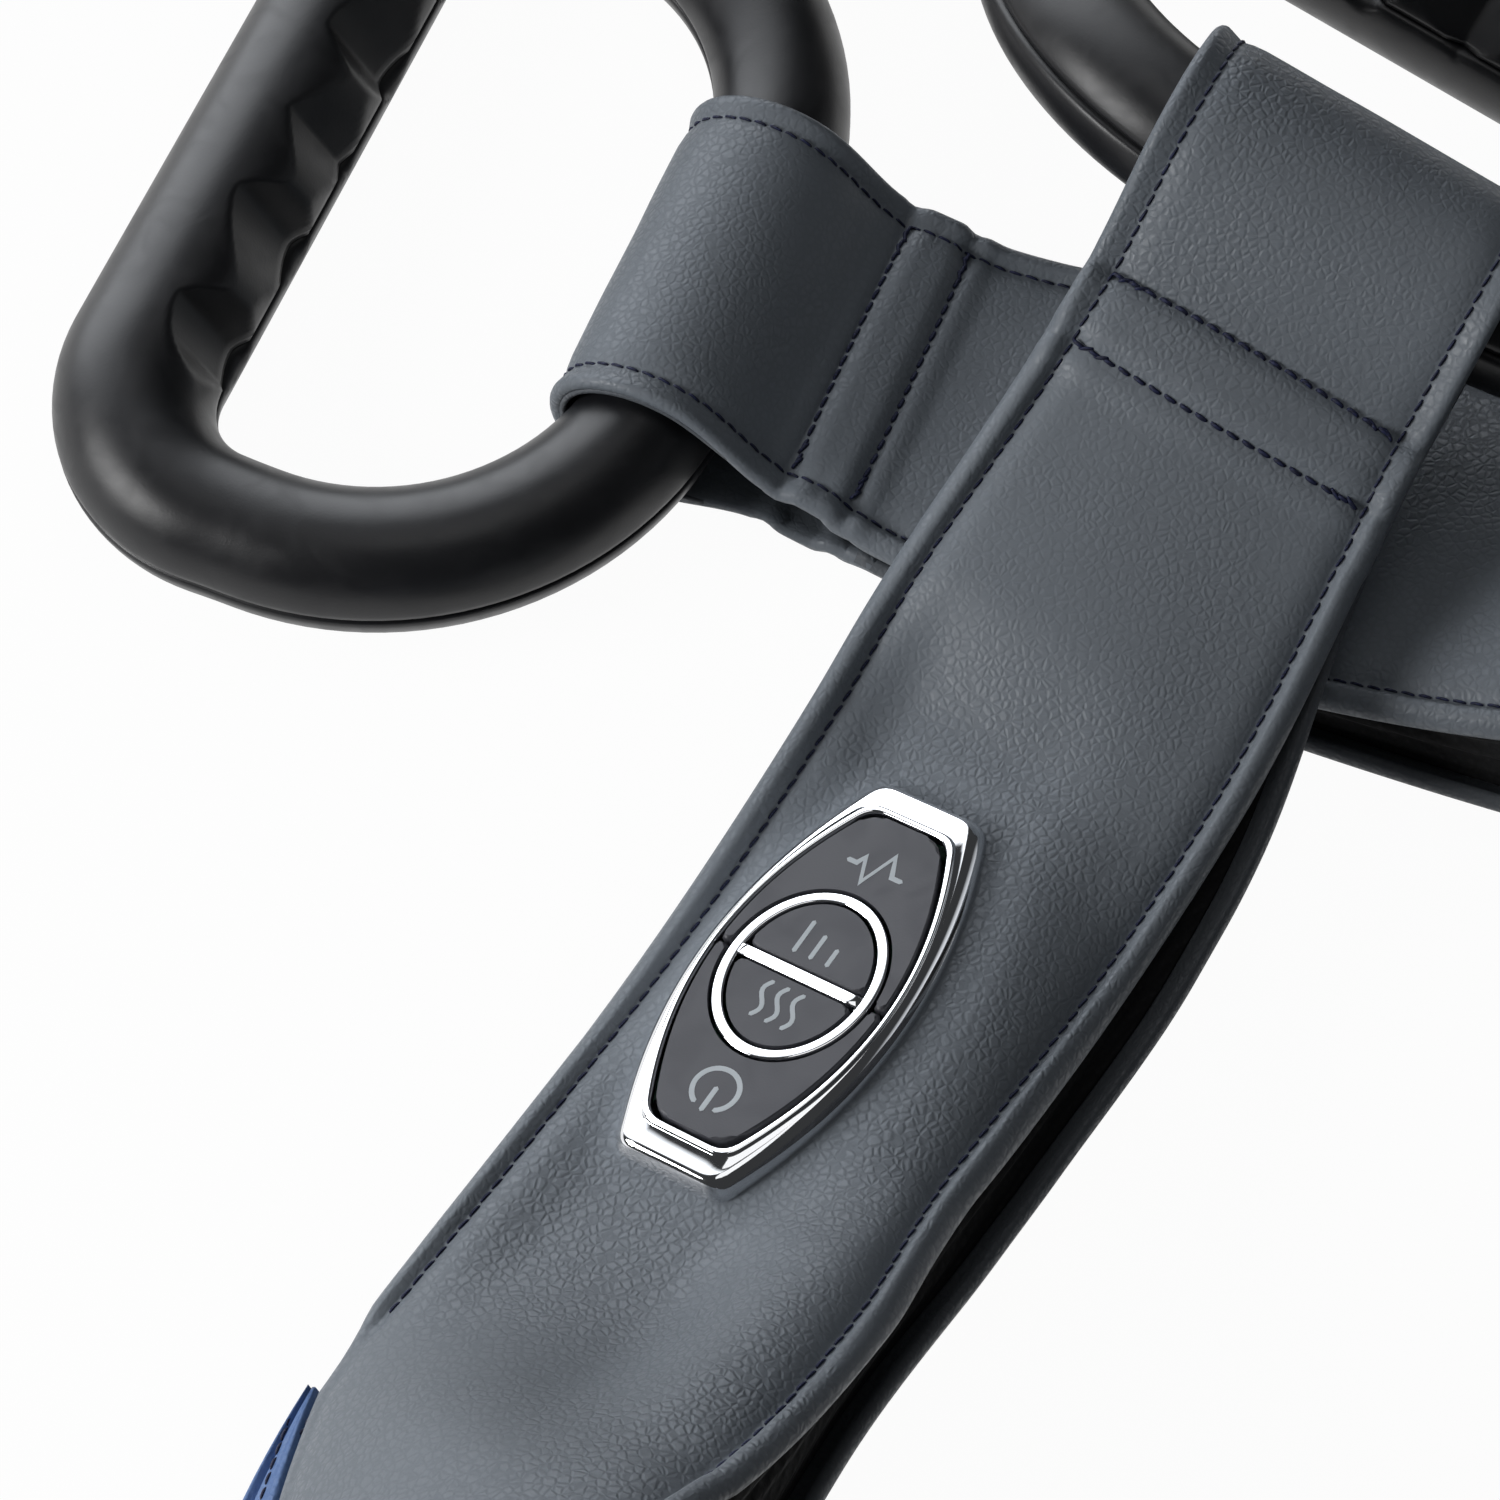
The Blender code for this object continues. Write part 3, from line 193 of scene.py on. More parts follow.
CROSS_LEFT, CROSS_RIGHT = crossing()
CROSS_NEAR = CROSS_LEFT - STRAP_WIDTH * CROSS_SHARE
CROSS_NEED = (rest_height(-CROSS_RIGHT) + edge(-CROSS_RIGHT) / 2 + crown(-CROSS_RIGHT) + CROSS_CLEAR
              + STRAP_WIDTH / 2 * sin(abs(roll(CROSS_NEAR))))


def ramp(u):
    return max(0.0, (u - LIFT_START) / (HALF_LENGTH - LIFT_START)) ** LIFT_POWER


LEFT_LIFT = CROSS_NEED / ramp(CROSS_NEAR)
RIGHT_LIFT = LOOP_OUTER + FLOOR_CLEAR - rest_height(-BAR_AT)


def height(s):
    u = abs(s)
    if s > 0:
        return rest_height(s) + LEFT_LIFT * ramp(u)
    settled = smooth(CROSS_RIGHT + STRAP_WIDTH * SETTLE_SHARE, BAR_AT + LOOP_OUTER, u)
    return rest_height(s) + RIGHT_LIFT * settled


def section(s):
    """Middle, tangent toward the handle, across direction and outer normal of the band."""
    spot, heading, outward = plan(s)
    lean, side, small = roll(s), side_of(s), 0.5 * MM
    slope = 0.0
    if abs(s) > small:
        slope = (height(s + small * side) - height(s - small * side)) / (2 * small)
    along = (heading + Vector((0, 0, slope))).normalized()
    across = Vector((0, 0, sin(lean))) - outward * cos(lean)
    normal = (across.cross(along) * side).normalized()
    return spot + Vector((0, 0, height(s))), along, across, normal


def seam(s):
    """Across share of the slanted seam between the blue cover and a grey arm."""
    line = 1 - 2 * clamp((abs(s) - SEAM_ROOT) / (SEAM_TIP - SEAM_ROOT))
    tip = 1 - (2 * MM + GAP) / (width(abs(s)) / 2)
    return clamp(line, -tip, tip)


# Control panel place
PANEL_AT, PANEL_SIDE, PANEL_ROLL, PANEL_LENGTH, PANEL_WIDTH = 426 * MM, -0.24, 8, 80 * MM, 39 * MM
PANEL_LOW_SINK, PANEL_HIGH_SINK, PANEL_SEAT, PANEL_DIP = mm(4, 0.5, 0.25, 0.35)
PANEL_LOW_EASE, PANEL_HIGH_EASE = mm(64, 34)
PANEL_SIDE_ROOM, PANEL_FAR_EASE = mm(29, 26)
PANEL_END_WIDTH, PANEL_CORNER, HOLE_INSET, HOLE_REACH = mm(21, 2.6, 1.7, 14)
BEZEL_BAND, BEZEL_END_BAND, BEZEL_RISE, BEZEL_FOOT = mm(3.2, 7, 4.2, -2.2)
RING_MARGIN, RING_BAND, BAR_BAND, PLATE_EASE = mm(3.0, 1.6, 2.2, 0.3)
BUTTON_GAP, BUTTON_RING_GAP, BUTTON_LOW, BUTTON_TOP = mm(0.7, 0.75, -1.8, 4.5)
BUTTON_SOFT, BUTTON_SPLIT = mm(0.6, 0.35)
RING_STRETCH = 1.24
RING_WIDE = PANEL_WIDTH / 2 - BEZEL_BAND - RING_MARGIN
RING_LONG = RING_WIDE * RING_STRETCH


def panel_place():
    """Frame of the control panel: X along the arm, Z out of it, laid level between its two ends."""
    ends = []
    for way, sink in ((-1, PANEL_LOW_SINK), (1, PANEL_HIGH_SINK)):
        u = PANEL_AT + way * PANEL_LENGTH / 2
        spot, _, across, normal = section(u)
        top = edge(u) / 2 + crown(u) * (1 - PANEL_SIDE * PANEL_SIDE)
        ends.append(spot + across * (PANEL_SIDE * width(u) / 2) + normal * (top - sink))
    along = (ends[1] - ends[0]).normalized()
    normal = section(PANEL_AT)[3]
    normal = (normal - along * normal.dot(along)).normalized()
    tilt = radians(PANEL_ROLL)
    normal = normal * cos(tilt) + normal.cross(along) * sin(tilt)
    turn = Matrix((along, normal.cross(along), normal)).transposed().to_4x4()
    return Matrix.Translation((ends[0] + ends[1]) / 2) @ turn


PANEL = panel_place()
PANEL_BACK = PANEL.inverted()


def panel_point(x, y, z):
    return PANEL @ Vector((x, y, z))


# Shader helpers
def node_group(name, inputs, outputs):
    tree = bpy.data.node_groups.new(name, "ShaderNodeTree")
    for label, value in inputs:
        kind = "NodeSocketVector" if isinstance(value, tuple) else "NodeSocketFloat"
        tree.interface.new_socket(label, in_out="INPUT", socket_type=kind).default_value = value
    for label in outputs:
        tree.interface.new_socket(label, in_out="OUTPUT", socket_type="NodeSocketFloat")
    return tree, tree.nodes.new("NodeGroupInput"), tree.nodes.new("NodeGroupOutput")


def give(tree, result, *values):
    """Link what a shader group gives, in the order of its outputs."""
    for value, socket in zip(values, result.inputs):
        tree.links.new(value, socket)


def wire(tree, kind, *sockets, **values):
    """New node. Lower-case values are its settings; the others go to sockets, by order or by name."""
    node = tree.nodes.new("ShaderNode" + kind)
    named = []
    for key, value in values.items():
        if key.islower():
            setattr(node, key, value)
        else:
            named.append((key.replace("_", " "), value))
    for key, value in [*enumerate(sockets), *named]:
        if isinstance(value, bpy.types.NodeSocket):
            tree.links.new(value, node.inputs[key])
        else:
            node.inputs[key].default_value = value
    return node


def maths(tree, operation, a, b=0.0, c=0.0, clamped=False):
    return wire(tree, "Math", a, b, c, operation=operation, use_clamp=clamped).outputs[0]


def vector_maths(tree, operation, a, b):
    return wire(tree, "VectorMath", a, b, operation=operation)


def span(tree, value, low, high, to_low, to_high):
    return wire(tree, "MapRange", value, low, high, to_low, to_high).outputs[0]


def object_place(tree):
    return wire(tree, "TexCoord").outputs["Object"]


def cloud_noise(tree, place, scale, detail, distortion=0.0):
    return wire(tree, "TexNoise", Vector=place, Scale=scale, Detail=detail, Distortion=distortion)


def make_leather_grain():
    """Pebbled leather: rounded cells with fine pores, standing out more in the creased patches."""
    tree, given, result = node_group(
        "leather_grain",
        [("Pebbles per Metre", 640.0), ("Evenness", 0.20), ("Crease A", (0, 0, 9)), ("Crease B", (0, 0, 9))],
        ("Height", "Tone", "Shine"))
    pebbles, evenness, crease_a, crease_b = given.outputs[:4]
    place = object_place(tree)
    drift = cloud_noise(tree, place, 260.0, 2.0)
    push = vector_maths(tree, "SUBTRACT", drift.outputs["Color"], (0.5, 0.5, 0.5)).outputs[0]
    push = wire(tree, "VectorMath", push, Scale=0.0012, operation="SCALE").outputs[0]
    warped = vector_maths(tree, "ADD", place, push).outputs[0]
    cells = wire(tree, "TexVoronoi", Vector=warped, Scale=pebbles, Randomness=0.85,
                 feature="DISTANCE_TO_EDGE")
    finer = maths(tree, "MULTIPLY", pebbles, 2.6)
    fine = wire(tree, "TexVoronoi", Vector=warped, Scale=finer, feature="SMOOTH_F1")
    pores = cloud_noise(tree, place, 2600.0, 3.0).outputs[0]
    pebble = wire(tree, "MapRange", cells.outputs["Distance"], 0.0, 0.30,
                  interpolation_type="SMOOTHSTEP").outputs[0]
    wide = cloud_noise(tree, place, 26.0, 2.0)
    patch = span(tree, wide.outputs[0], 0.38, 0.68, 0.0, 1.0)
    for crease in (crease_a, crease_b):
        far = vector_maths(tree, "DISTANCE", place, crease)
        near = span(tree, far.outputs["Value"], 0.012, 0.034, 1.0, 0.0)
        patch = maths(tree, "MAXIMUM", patch, near)
    strong = maths(tree, "MULTIPLY_ADD", patch, 0.42, evenness)
    body = maths(tree, "MULTIPLY", pebble, strong)
    body = maths(tree, "MULTIPLY_ADD", fine.outputs["Distance"], -0.09, body)
    tall = maths(tree, "MULTIPLY_ADD", pores, 0.05, body)
    cloud = span(tree, cloud_noise(tree, place, 11.0, 3.0).outputs[0], 0.3, 0.7, 0.62, 0.86)
    # Painted shade: colour darkened in the low cracks between the pebbles, most in the creased patches; the
    # cloud adds tone that differs at random
    dark = maths(tree, "MULTIPLY", maths(tree, "SUBTRACT", 1.0, pebble), strong)
    tone = maths(tree, "MULTIPLY_ADD", dark, -0.30, cloud, True)
    shine = maths(tree, "MULTIPLY_ADD", pebble, -0.16, maths(tree, "MULTIPLY", pores, 0.5))
    give(tree, result, tall, tone, shine)
    return tree


def make_moulded_speckle():
    """Fine spark-eroded mould texture with faint handling marks."""
    tree, given, result = node_group("moulded_speckle", [("Grain per Metre", 2200.0)],
                                     ("Height", "Tone", "Marks"))
    place = object_place(tree)
    grain = cloud_noise(tree, place, given.outputs[0], 3.0).outputs[0]
    cloud = cloud_noise(tree, place, 34.0, 4.0).outputs[0]
    rubbed = cloud_noise(tree, place, 120.0, 5.0, 1.2).outputs[0]
    marks = span(tree, rubbed, 0.45, 0.72, 0.0, 1.0)
    give(tree, result, grain, cloud, marks)
    return tree


def make_cloth_weave():
    """Crossed threads of a plain cloth, laid from three directions so that no side is stretched."""
    tree, given, result = node_group("cloth_weave", [("Threads per Metre", 900.0)], ("Height", "Tone"))
    place = object_place(tree)
    total = None
    for axis in ("X", "Y", "Z"):
        scale = maths(tree, "MULTIPLY", given.outputs[0], 0.16)
        lines = wire(tree, "TexWave", Vector=place, Scale=scale, Distortion=0.6, Detail=1.0,
                     Detail_Scale=2.0, bands_direction=axis)
        total = lines.outputs[1] if total is None else maths(tree, "MULTIPLY", total, lines.outputs[1])
        total = maths(tree, "MULTIPLY_ADD", total, 0.8, 0.2)
    fuzz = cloud_noise(tree, place, 1500.0, 4.0).outputs[0]
    tone = maths(tree, "MULTIPLY_ADD", total, 0.5, maths(tree, "MULTIPLY", fuzz, 0.6), True)
    give(tree, result, maths(tree, "MULTIPLY_ADD", fuzz, 0.4, total), tone)
    return tree


LEATHER_GRAIN, MOULDED_SPECKLE, CLOTH_WEAVE = make_leather_grain(), make_moulded_speckle(), make_cloth_weave()


# Materials
def finish(name, rough, metal=0.0, specular=0.5):
    mat = bpy.data.materials.new(name)
    mat.use_nodes = True
    shader = mat.node_tree.nodes["Principled BSDF"]
    shader.inputs["Roughness"].default_value = rough
    shader.inputs["Metallic"].default_value = metal
    shader.inputs["Specular IOR Level"].default_value = specular
    return mat, mat.node_tree, shader


def shades(tree, shader, share, colour, dark, light):
    """Base colour that runs from a darker to a lighter shade of one colour."""
    node = wire(tree, "Mix", share, data_type="RGBA")
    for socket, factor in ((6, dark), (7, light)):
        node.inputs[socket].default_value = (*[c * factor for c in colour], 1.0)
    tree.links.new(node.outputs[2], shader.inputs["Base Color"])


def relief(tree, shader, tall, distance, strength):
    node = wire(tree, "Bump", Strength=strength, Distance=distance, Height=tall)
    tree.links.new(node.outputs[0], shader.inputs["Normal"])


def leather(name, colour, rough=0.46, **creases):
    mat, tree, shader = finish(name, rough, specular=0.42)
    grain = wire(tree, "Group", node_tree=LEATHER_GRAIN, **creases)
    # Base colour from the grain's tone, which holds painted shade in the cracks between the pebbles
    shades(tree, shader, grain.outputs["Tone"], colour, 0.68, 1.12)
    tree.links.new(maths(tree, "ADD", grain.outputs["Shine"], rough - 0.12), shader.inputs["Roughness"])
    relief(tree, shader, grain.outputs["Height"], 0.28 * MM, 0.52)
    return mat


def moulded(name, colour, rough, strength=0.25, grain=2200.0, lift=1.25, specular=0.5):
    mat, tree, shader = finish(name, rough, specular=specular)
    speckle = wire(tree, "Group", grain, node_tree=MOULDED_SPECKLE)
    shades(tree, shader, speckle.outputs["Tone"], colour, 0.8, lift)
    worn = maths(tree, "MULTIPLY_ADD", speckle.outputs["Marks"], 0.09, rough)
    tree.links.new(worn, shader.inputs["Roughness"])
    relief(tree, shader, speckle.outputs["Height"], 0.08 * MM, strength)
    return mat


def cloth(name, colour, threads):
    mat, tree, shader = finish(name, 0.85, specular=0.25)
    weave = wire(tree, "Group", threads, node_tree=CLOTH_WEAVE)
    shades(tree, shader, weave.outputs["Tone"], colour, 0.35, 1.6)
    relief(tree, shader, weave.outputs["Height"], 0.4 * MM, 0.7)
    return mat


def spacer_mesh(name, colour, threads):
    """Breathable mesh: staggered round holes through to a dark ground."""
    mat, tree, shader = finish(name, 0.8, specular=0.25)
    holes = wire(tree, "TexVoronoi", Vector=object_place(tree), Scale=420.0, Randomness=0.12, feature="F1")
    ring = span(tree, holes.outputs["Distance"], 0.22, 0.48, 0.0, 1.0)
    weave = wire(tree, "Group", threads, node_tree=CLOTH_WEAVE)
    shades(tree, shader, ring, colour, 0.25, 1.7)
    relief(tree, shader, maths(tree, "MULTIPLY_ADD", weave.outputs["Height"], 0.2, ring), 0.6 * MM, 0.8)
    return mat


def twisted_thread(name, colour):
    mat, tree, shader = finish(name, 0.6, specular=0.3)
    plies = wire(tree, "TexWave", Vector=object_place(tree), Scale=900.0, Distortion=2.0,
                 bands_direction="DIAGONAL")
    shades(tree, shader, plies.outputs[1], colour, 0.5, 1.5)
    relief(tree, shader, plies.outputs[1], 0.1 * MM, 0.5)
    return mat


def plated(name, colour, rough):
    """Mirror plating with a breath of smears."""
    mat, tree, shader = finish(name, rough, metal=1.0)
    speckle = wire(tree, "Group", 300.0, node_tree=MOULDED_SPECKLE)
    shades(tree, shader, speckle.outputs["Tone"], colour, 0.97, 1.02)
    smeared = maths(tree, "MULTIPLY_ADD", speckle.outputs["Marks"], 0.05, rough)
    tree.links.new(smeared, shader.inputs["Roughness"])
    return mat


def brushed(name, colour, rough):
    mat, tree, shader = finish(name, rough, metal=1.0)
    drawn = wire(tree, "Mapping", Vector=object_place(tree), Scale=(40.0, 900.0, 900.0))
    lines = cloud_noise(tree, drawn.outputs[0], 3.0, 4.0).outputs[0]
    shades(tree, shader, lines, colour, 0.75, 1.1)
    tree.links.new(span(tree, lines, 0.3, 0.7, rough - 0.08, rough + 0.1), shader.inputs["Roughness"])
    relief(tree, shader, lines, 0.05 * MM, 0.3)
    return mat


grey_leather = leather("grey_leather", (0.152, 0.172, 0.196),
                       Crease_A=panel_point(47 * MM, -8 * MM, 0), Crease_B=panel_point(-52 * MM, 4 * MM, 0))
lining_leather = leather("lining_leather", (0.085, 0.095, 0.108), rough=0.5)
blue_leather = leather("blue_leather", (0.095, 0.17, 0.36), rough=0.48)
black_cloth = cloth("black_gusset_cloth", (0.017, 0.017, 0.018), 1100.0)
black_mesh = spacer_mesh("black_spacer_mesh", (0.022, 0.023, 0.026), 1500.0)
navy_thread = twisted_thread("navy_thread", (0.010, 0.013, 0.04))
black_plastic = moulded("black_satin_plastic", (0.0085, 0.0088, 0.0105), 0.36, strength=0.2, grain=1900.0,
                        specular=0.45)
button_plastic = moulded("button_plastic", (0.049, 0.050, 0.059), 0.42, strength=0.18, grain=2600.0,
                         specular=0.4)
mark_paint = moulded("button_mark_paint", (0.55, 0.60, 0.64), 0.5, strength=0.1)
inlet_plastic = moulded("inlet_plastic", (0.02, 0.02, 0.022), 0.45)
chrome = plated("mirror_chrome", (0.86, 0.87, 0.89), 0.05)

# Shapes
LOOKS = bpy.data.collections.new("massager_looks")
scene.collection.children.link(LOOKS)


def piece(name, bm, mat, body="collar", stands_for=(), smooth_faces=True):
    bmesh.ops.remove_doubles(bm, verts=bm.verts, dist=0.002 * MM)
    bmesh.ops.recalc_face_normals(bm, faces=bm.faces)
    mesh = bpy.data.meshes.new(name)
    bm.to_mesh(mesh)
    bm.free()
    if smooth_faces:
        mesh.polygons.foreach_set("use_smooth", [True] * len(mesh.polygons))
    obj = bpy.data.objects.new(name, mesh)
    LOOKS.objects.link(obj)
    if mat:
        mesh.materials.append(mat)
    if body:
        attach(obj, body)
    if stands_for:
        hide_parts(*stands_for)
    return obj


def bridge(bm, a, b):
    """Quads between two loops of corners."""
    for j in range(len(a)):
        k = (j + 1) % len(a)
        bm.faces.new((a[j], a[k], b[k], b[j]))


def skin(bm, loops, closed=False):
    """Quads over a run of loops, with the two ends capped unless the run meets itself."""
    for a, b in zip(loops, loops[1:]):
        bridge(bm, a, b)
    if closed:
        bridge(bm, loops[-1], loops[0])
    else:
        bm.faces.new(loops[0])
        bm.faces.new(list(reversed(loops[-1])))


def sweep(rows, closed=False):
    bm = bmesh.new()
    skin(bm, [[bm.verts.new(p) for p in row] for row in rows], closed)
    return bm


class Slice:
    """One cross-section of a sewn skin: where its middle lies and how its edges are made."""

    def __init__(self, base, out, across, half, crown_rise, bead, low=None, high=None, at=0.0,
                 deep=SKIN_DEEP):
        self.base, self.out, self.across, self.half = base, out, across, half
        self.crown, self.bead, self.at, self.deep = crown_rise, bead, at, deep
        self.low = -half if low is None else low
        self.high = half if high is None else high
        self.low_bead, self.high_bead = float(low is None), float(high is None)

    def lift(self, x):
        v = clamp(x / self.half, -1.0, 1.0)
        return self.crown * (1 - v * v)

    def place(self, x, h):
        return self.base + self.across * x + self.out * (h + self.lift(x))


def edge_points(bead, share):
    """Distances in from an edge and heights there, from a drawn-in seam (0) to a bead and groove (1)."""
    seam_edge = [(0.0, -2.2), (0.08, -1.8), (0.16, -1.5), (0.28, -1.2), (0.5, -0.8), (0.8, -0.5), (1.2, -0.3),
                 (1.8, -0.15), (2.4, -0.05), (3.0, 0.0), (3.6, -0.2), (4.2, -0.35), (5.6, 0.0)]
    scale = bead / ARM_BEAD
    rise, stitch = BEAD_RISE * scale, STITCH_INSET
    turned = [(bead - bead * cos(radians(a)), bead * sin(radians(a)) - bead + rise)
              for a in (-65, -35, -5, 25, 55, 78)]
    turned += [(bead * 1.12, rise), (bead * 1.12 + 0.7 * MM, rise - 0.35 * MM * scale)]
    turned += [(stitch - 0.7 * MM, -0.85 * MM * scale), (stitch, GROOVE * scale),
               (stitch + 0.7 * MM, -0.95 * MM * scale), (stitch + 2.0 * MM, -0.4 * MM * scale),
               (stitch + 4.2 * MM, 0.0)]
    return [(a * MM * (1 - share) + d * share, b * MM * (1 - share) + h * share)
            for (a, b), (d, h) in zip(seam_edge, turned)]


def skin_row(cut, relief_of=None, cells=26):
    """Closed profile of a sewn skin at one slice: upper face from low to high edge, then its underside."""
    low = edge_points(cut.bead, cut.low_bead)
    high = edge_points(cut.bead, cut.high_bead)
    room = cut.high - cut.low
    squeeze = min(1.0, room * 0.45 / max(low[-1][0], high[-1][0]))
    upper = [(cut.low + d * squeeze, h) for d, h in low]
    start, end = upper[-1][0], cut.high - high[-1][0] * squeeze
    upper += [(start + (end - start) * i / cells, 0.0) for i in range(1, cells)]
    upper += [(cut.high - d * squeeze, h) for d, h in reversed(high)]
    under_low = cut.low + (1.0 + 2.4 * cut.low_bead) * MM * squeeze
    under_high = cut.high - (1.0 + 2.4 * cut.high_bead) * MM * squeeze
    under_cells, under_bow = 18, 0.6 * MM
    under = [(under_high + (under_low - under_high) * i / under_cells,
              -cut.deep - (under_bow if 0 < i < under_cells else 0.0)) for i in range(under_cells + 1)]
    return [cut.place(x, h + (relief_of(cut, x) if relief_of else 0.0)) for x, h in upper + under]


def soft_noise(place, size, seed=0.0):
    return noise.noise(place / size + Vector((seed, seed * 0.7, -seed)))


def leather_relief(cut, x):
    """Slight waviness of leather over foam, puckered along the stitches."""
    place = cut.base + cut.across * x
    lift = WAVE * soft_noise(place, WAVE_SIZE) + RIPPLE * soft_noise(place, RIPPLE_SIZE, 3.0)
    inside = min(x - cut.low, cut.high - x)
    pucker = bump(inside, STITCH_INSET, PUCKER_REACH)
    lift += PUCKER * pucker * cos(2 * pi * cut.at / STITCH_PITCH)
    return lift * smooth(0.0, RELIEF_FADE, inside)


# Arm leather: outer skin from the blue seam to the fold and round the handle's bar
def arm_slice(s, outer=True, low=None, high=None):
    spot, _, across, normal = section(s)
    u, rise, sign = abs(s), crown(s), -1
    if outer:
        sign = 1
        rise += (PILLOW if s > 0 else RIGHT_PILLOW) * between(
            u, SEAM_ROOT, SEAM_TIP, ROW_FAR - 40 * MM, ROW_FAR - 10 * MM)
    return Slice(spot + normal * (sign * edge(s) / 2), normal * sign, across, width(u) / 2, rise, ARM_BEAD,
                 low, high, u)


def tuck(s):
    """How far the left arm's outer skin is drawn in from the gusset along its inner edge."""
    return TUCK * between(s, *TUCK_RUN) - SPREAD * between(s, *SPREAD_RUN)


def flare(s):
    """How far the left arm's lining stands out past the outer skin along that edge."""
    return FLARE * between(s, *FLARE_RUN) - DRAW * between(s, *DRAW_RUN)


def arm_slices(side):
    cuts = []
    for s in range_steps(SEAM_ROOT + GAP, LOOP_FROM, FINE):
        half = width(s) / 2
        turned = smooth(SEAM_TIP - 1 * MM, SEAM_TIP + 11 * MM, s)
        low = (seam(side * s) * half + GAP) * (1 - turned) - half * turned
        cut = arm_slice(side * s, True, low, half - tuck(side * s))
        cut.low_bead, cut.high_bead = turned, 1.0
        cuts.append(cut)
    return cuts


def lap_lift(u):
    """Height of the folded strap over the arm's own top: two sewn-down rows with a ridge between."""
    raised = LAP_RISE * smooth(ROW_FAR - 7 * MM, ROW_FAR + 3 * MM, u)
    return raised - FAR_ROW_DIP * bump(u, ROW_FAR, 1.8 * MM) - NEAR_ROW_DIP * bump(u, ROW_NEAR, 2.0 * MM)


def fold_line(inset):
    """Strap end seen from the side as (distance, height, crown share): over, round the bar and back."""
    radius = LOOP_OUTER - inset
    thick = edge(ARM_END) / 2
    line = [(u, thick + lap_lift(u) - inset * smooth(ROW_NEAR, ROW_NEAR + 12 * MM, u), 1.0)
            for u in range_steps(LOOP_FROM, ROW_NEAR + 2 * MM, 1.0 * MM)]
    turn = radians(LOOP_TURN)
    p0 = Vector(line[-1][:2])
    p3 = Vector((BAR_AT + radius * cos(turn), radius * sin(turn)))
    p1 = p0 + Vector((1, 0.28)) * 5 * MM
    p2 = p3 - Vector((sin(turn), -cos(turn))) * 6 * MM
    for i in range(1, 10):
        t = i / 10
        p = p0 * (1 - t) ** 3 + p1 * 3 * t * (1 - t) ** 2 + p2 * 3 * t * t * (1 - t) + p3 * t ** 3
        line.append((p.x, p.y, 1 - t))
    for angle in range_steps(LOOP_TURN, 0.0, 5.0):
        a = radians(angle)
        line.append((BAR_AT + radius * cos(a), radius * sin(a), 0.0))
    return line + [(u, -n, c) for u, n, c in reversed(line[:-1])]


def fold_slices(side, inset=0.0, bead_scale=1.0, deep=SKIN_DEEP, beyond=0.0):
    """Slices round the fold, in from its outer face, where they lie past a distance along the arm."""
    line = fold_line(inset)
    cuts, travelled = [], 0.0
    for i, (u, n, share) in enumerate(line):
        before, after = line[max(0, i - 1)], line[min(len(line) - 1, i + 1)]
        step = Vector((after[0] - before[0], after[1] - before[1])).normalized()
        if i:
            travelled += hypot(u - before[0], n - before[1])
        if u > beyond:
            spot, along, across, normal = section(side * u)
            bead = LOOP_BEAD + (ARM_BEAD - LOOP_BEAD) * (1 - smooth(LOOP_FROM, ROW_NEAR, u))
            out = (along * -step.y + normal * step.x).normalized()
            cuts.append(Slice(spot + normal * n, out, across, width(u) / 2, crown(u) * share,
                              bead * bead_scale, at=LOOP_FROM + travelled, deep=deep))
    return cuts


def panel_limit(x):
    """Half width of the bezel's outline at a distance along the panel."""
    wide, end = PANEL_WIDTH / 2, PANEL_END_WIDTH / 2
    return wide - (wide - end) * min(1.0, (x / (PANEL_LENGTH / 2)) ** 2)


def panel_laying(spot):
    """How far the leather at a point near the panel is laid down on the panel's plane."""
    limit = panel_limit(spot.x)
    ease = PANEL_SIDE_ROOM - limit if spot.y > 0 else PANEL_FAR_EASE
    fade = PANEL_HIGH_EASE if spot.x > 0 else PANEL_LOW_EASE
    share = 1 - smooth(PANEL_LENGTH / 2, PANEL_LENGTH / 2 + fade, abs(spot.x))
    return share * (1 - smooth(limit, limit + ease, abs(spot.y)))


def left_leather_relief(cut, x):
    """Relief of the left arm: laid down under the panel, with a crease past the panel's upper end."""
    spot = PANEL_BACK @ (cut.base + cut.across * x + cut.out * cut.lift(x))
    away = max(abs(spot.y) - panel_limit(spot.x), abs(spot.x) - PANEL_LENGTH / 2)
    lift = leather_relief(cut, x) * smooth(0.0, 8 * MM, away)
    lift -= (spot.z + PANEL_SEAT) * panel_laying(spot) + PANEL_DIP * bump(away, 3.5 * MM, 2.6 * MM)
    x, y = spot.x - CREASE_X, spot.y - CREASE_Y
    lift += RIDGE * bump(x, 0.02 * abs(y), 3.0 * MM) * bump(y, 0, 14 * MM)
    return lift - VALLEY * bump(x, VALLEY_AT, 3.5 * MM) * bump(y, 0, 16 * MM)


def carve(obj, cutter):
    """Cut one piece with another and drop the cutter."""
    mod = obj.modifiers.new("cut", "BOOLEAN")
    mod.operation, mod.solver, mod.object = "DIFFERENCE", "EXACT", cutter
    shaped = bpy.data.meshes.new_from_object(obj.evaluated_get(bpy.context.evaluated_depsgraph_get()))
    obj.modifiers.clear()
    old, obj.data = obj.data, shaped
    bpy.data.meshes.remove(old)
    bpy.data.objects.remove(cutter, do_unlink=True)


def add_stitch(bm, start, end, out, thick):
    """One stitch: a short thread arched over the leather with both ends drawn into it."""
    run = end - start
    aside = run.cross(out).normalized()
    rings = []
    for t, rise, scale in ((0.0, -0.25, 0.75), (0.18, 0.22, 1.0), (0.5, 0.36, 1.05), (0.82, 0.22, 1.0),
                           (1.0, -0.25, 0.75)):
        middle = start + run * t + out * (thick * rise * 1.4)
        rings.append([bm.verts.new(middle + (aside * cos(a) + out * sin(a)) * thick * scale)
                      for a in (2 * pi * k / 5 for k in range(5))])
    skin(bm, rings)


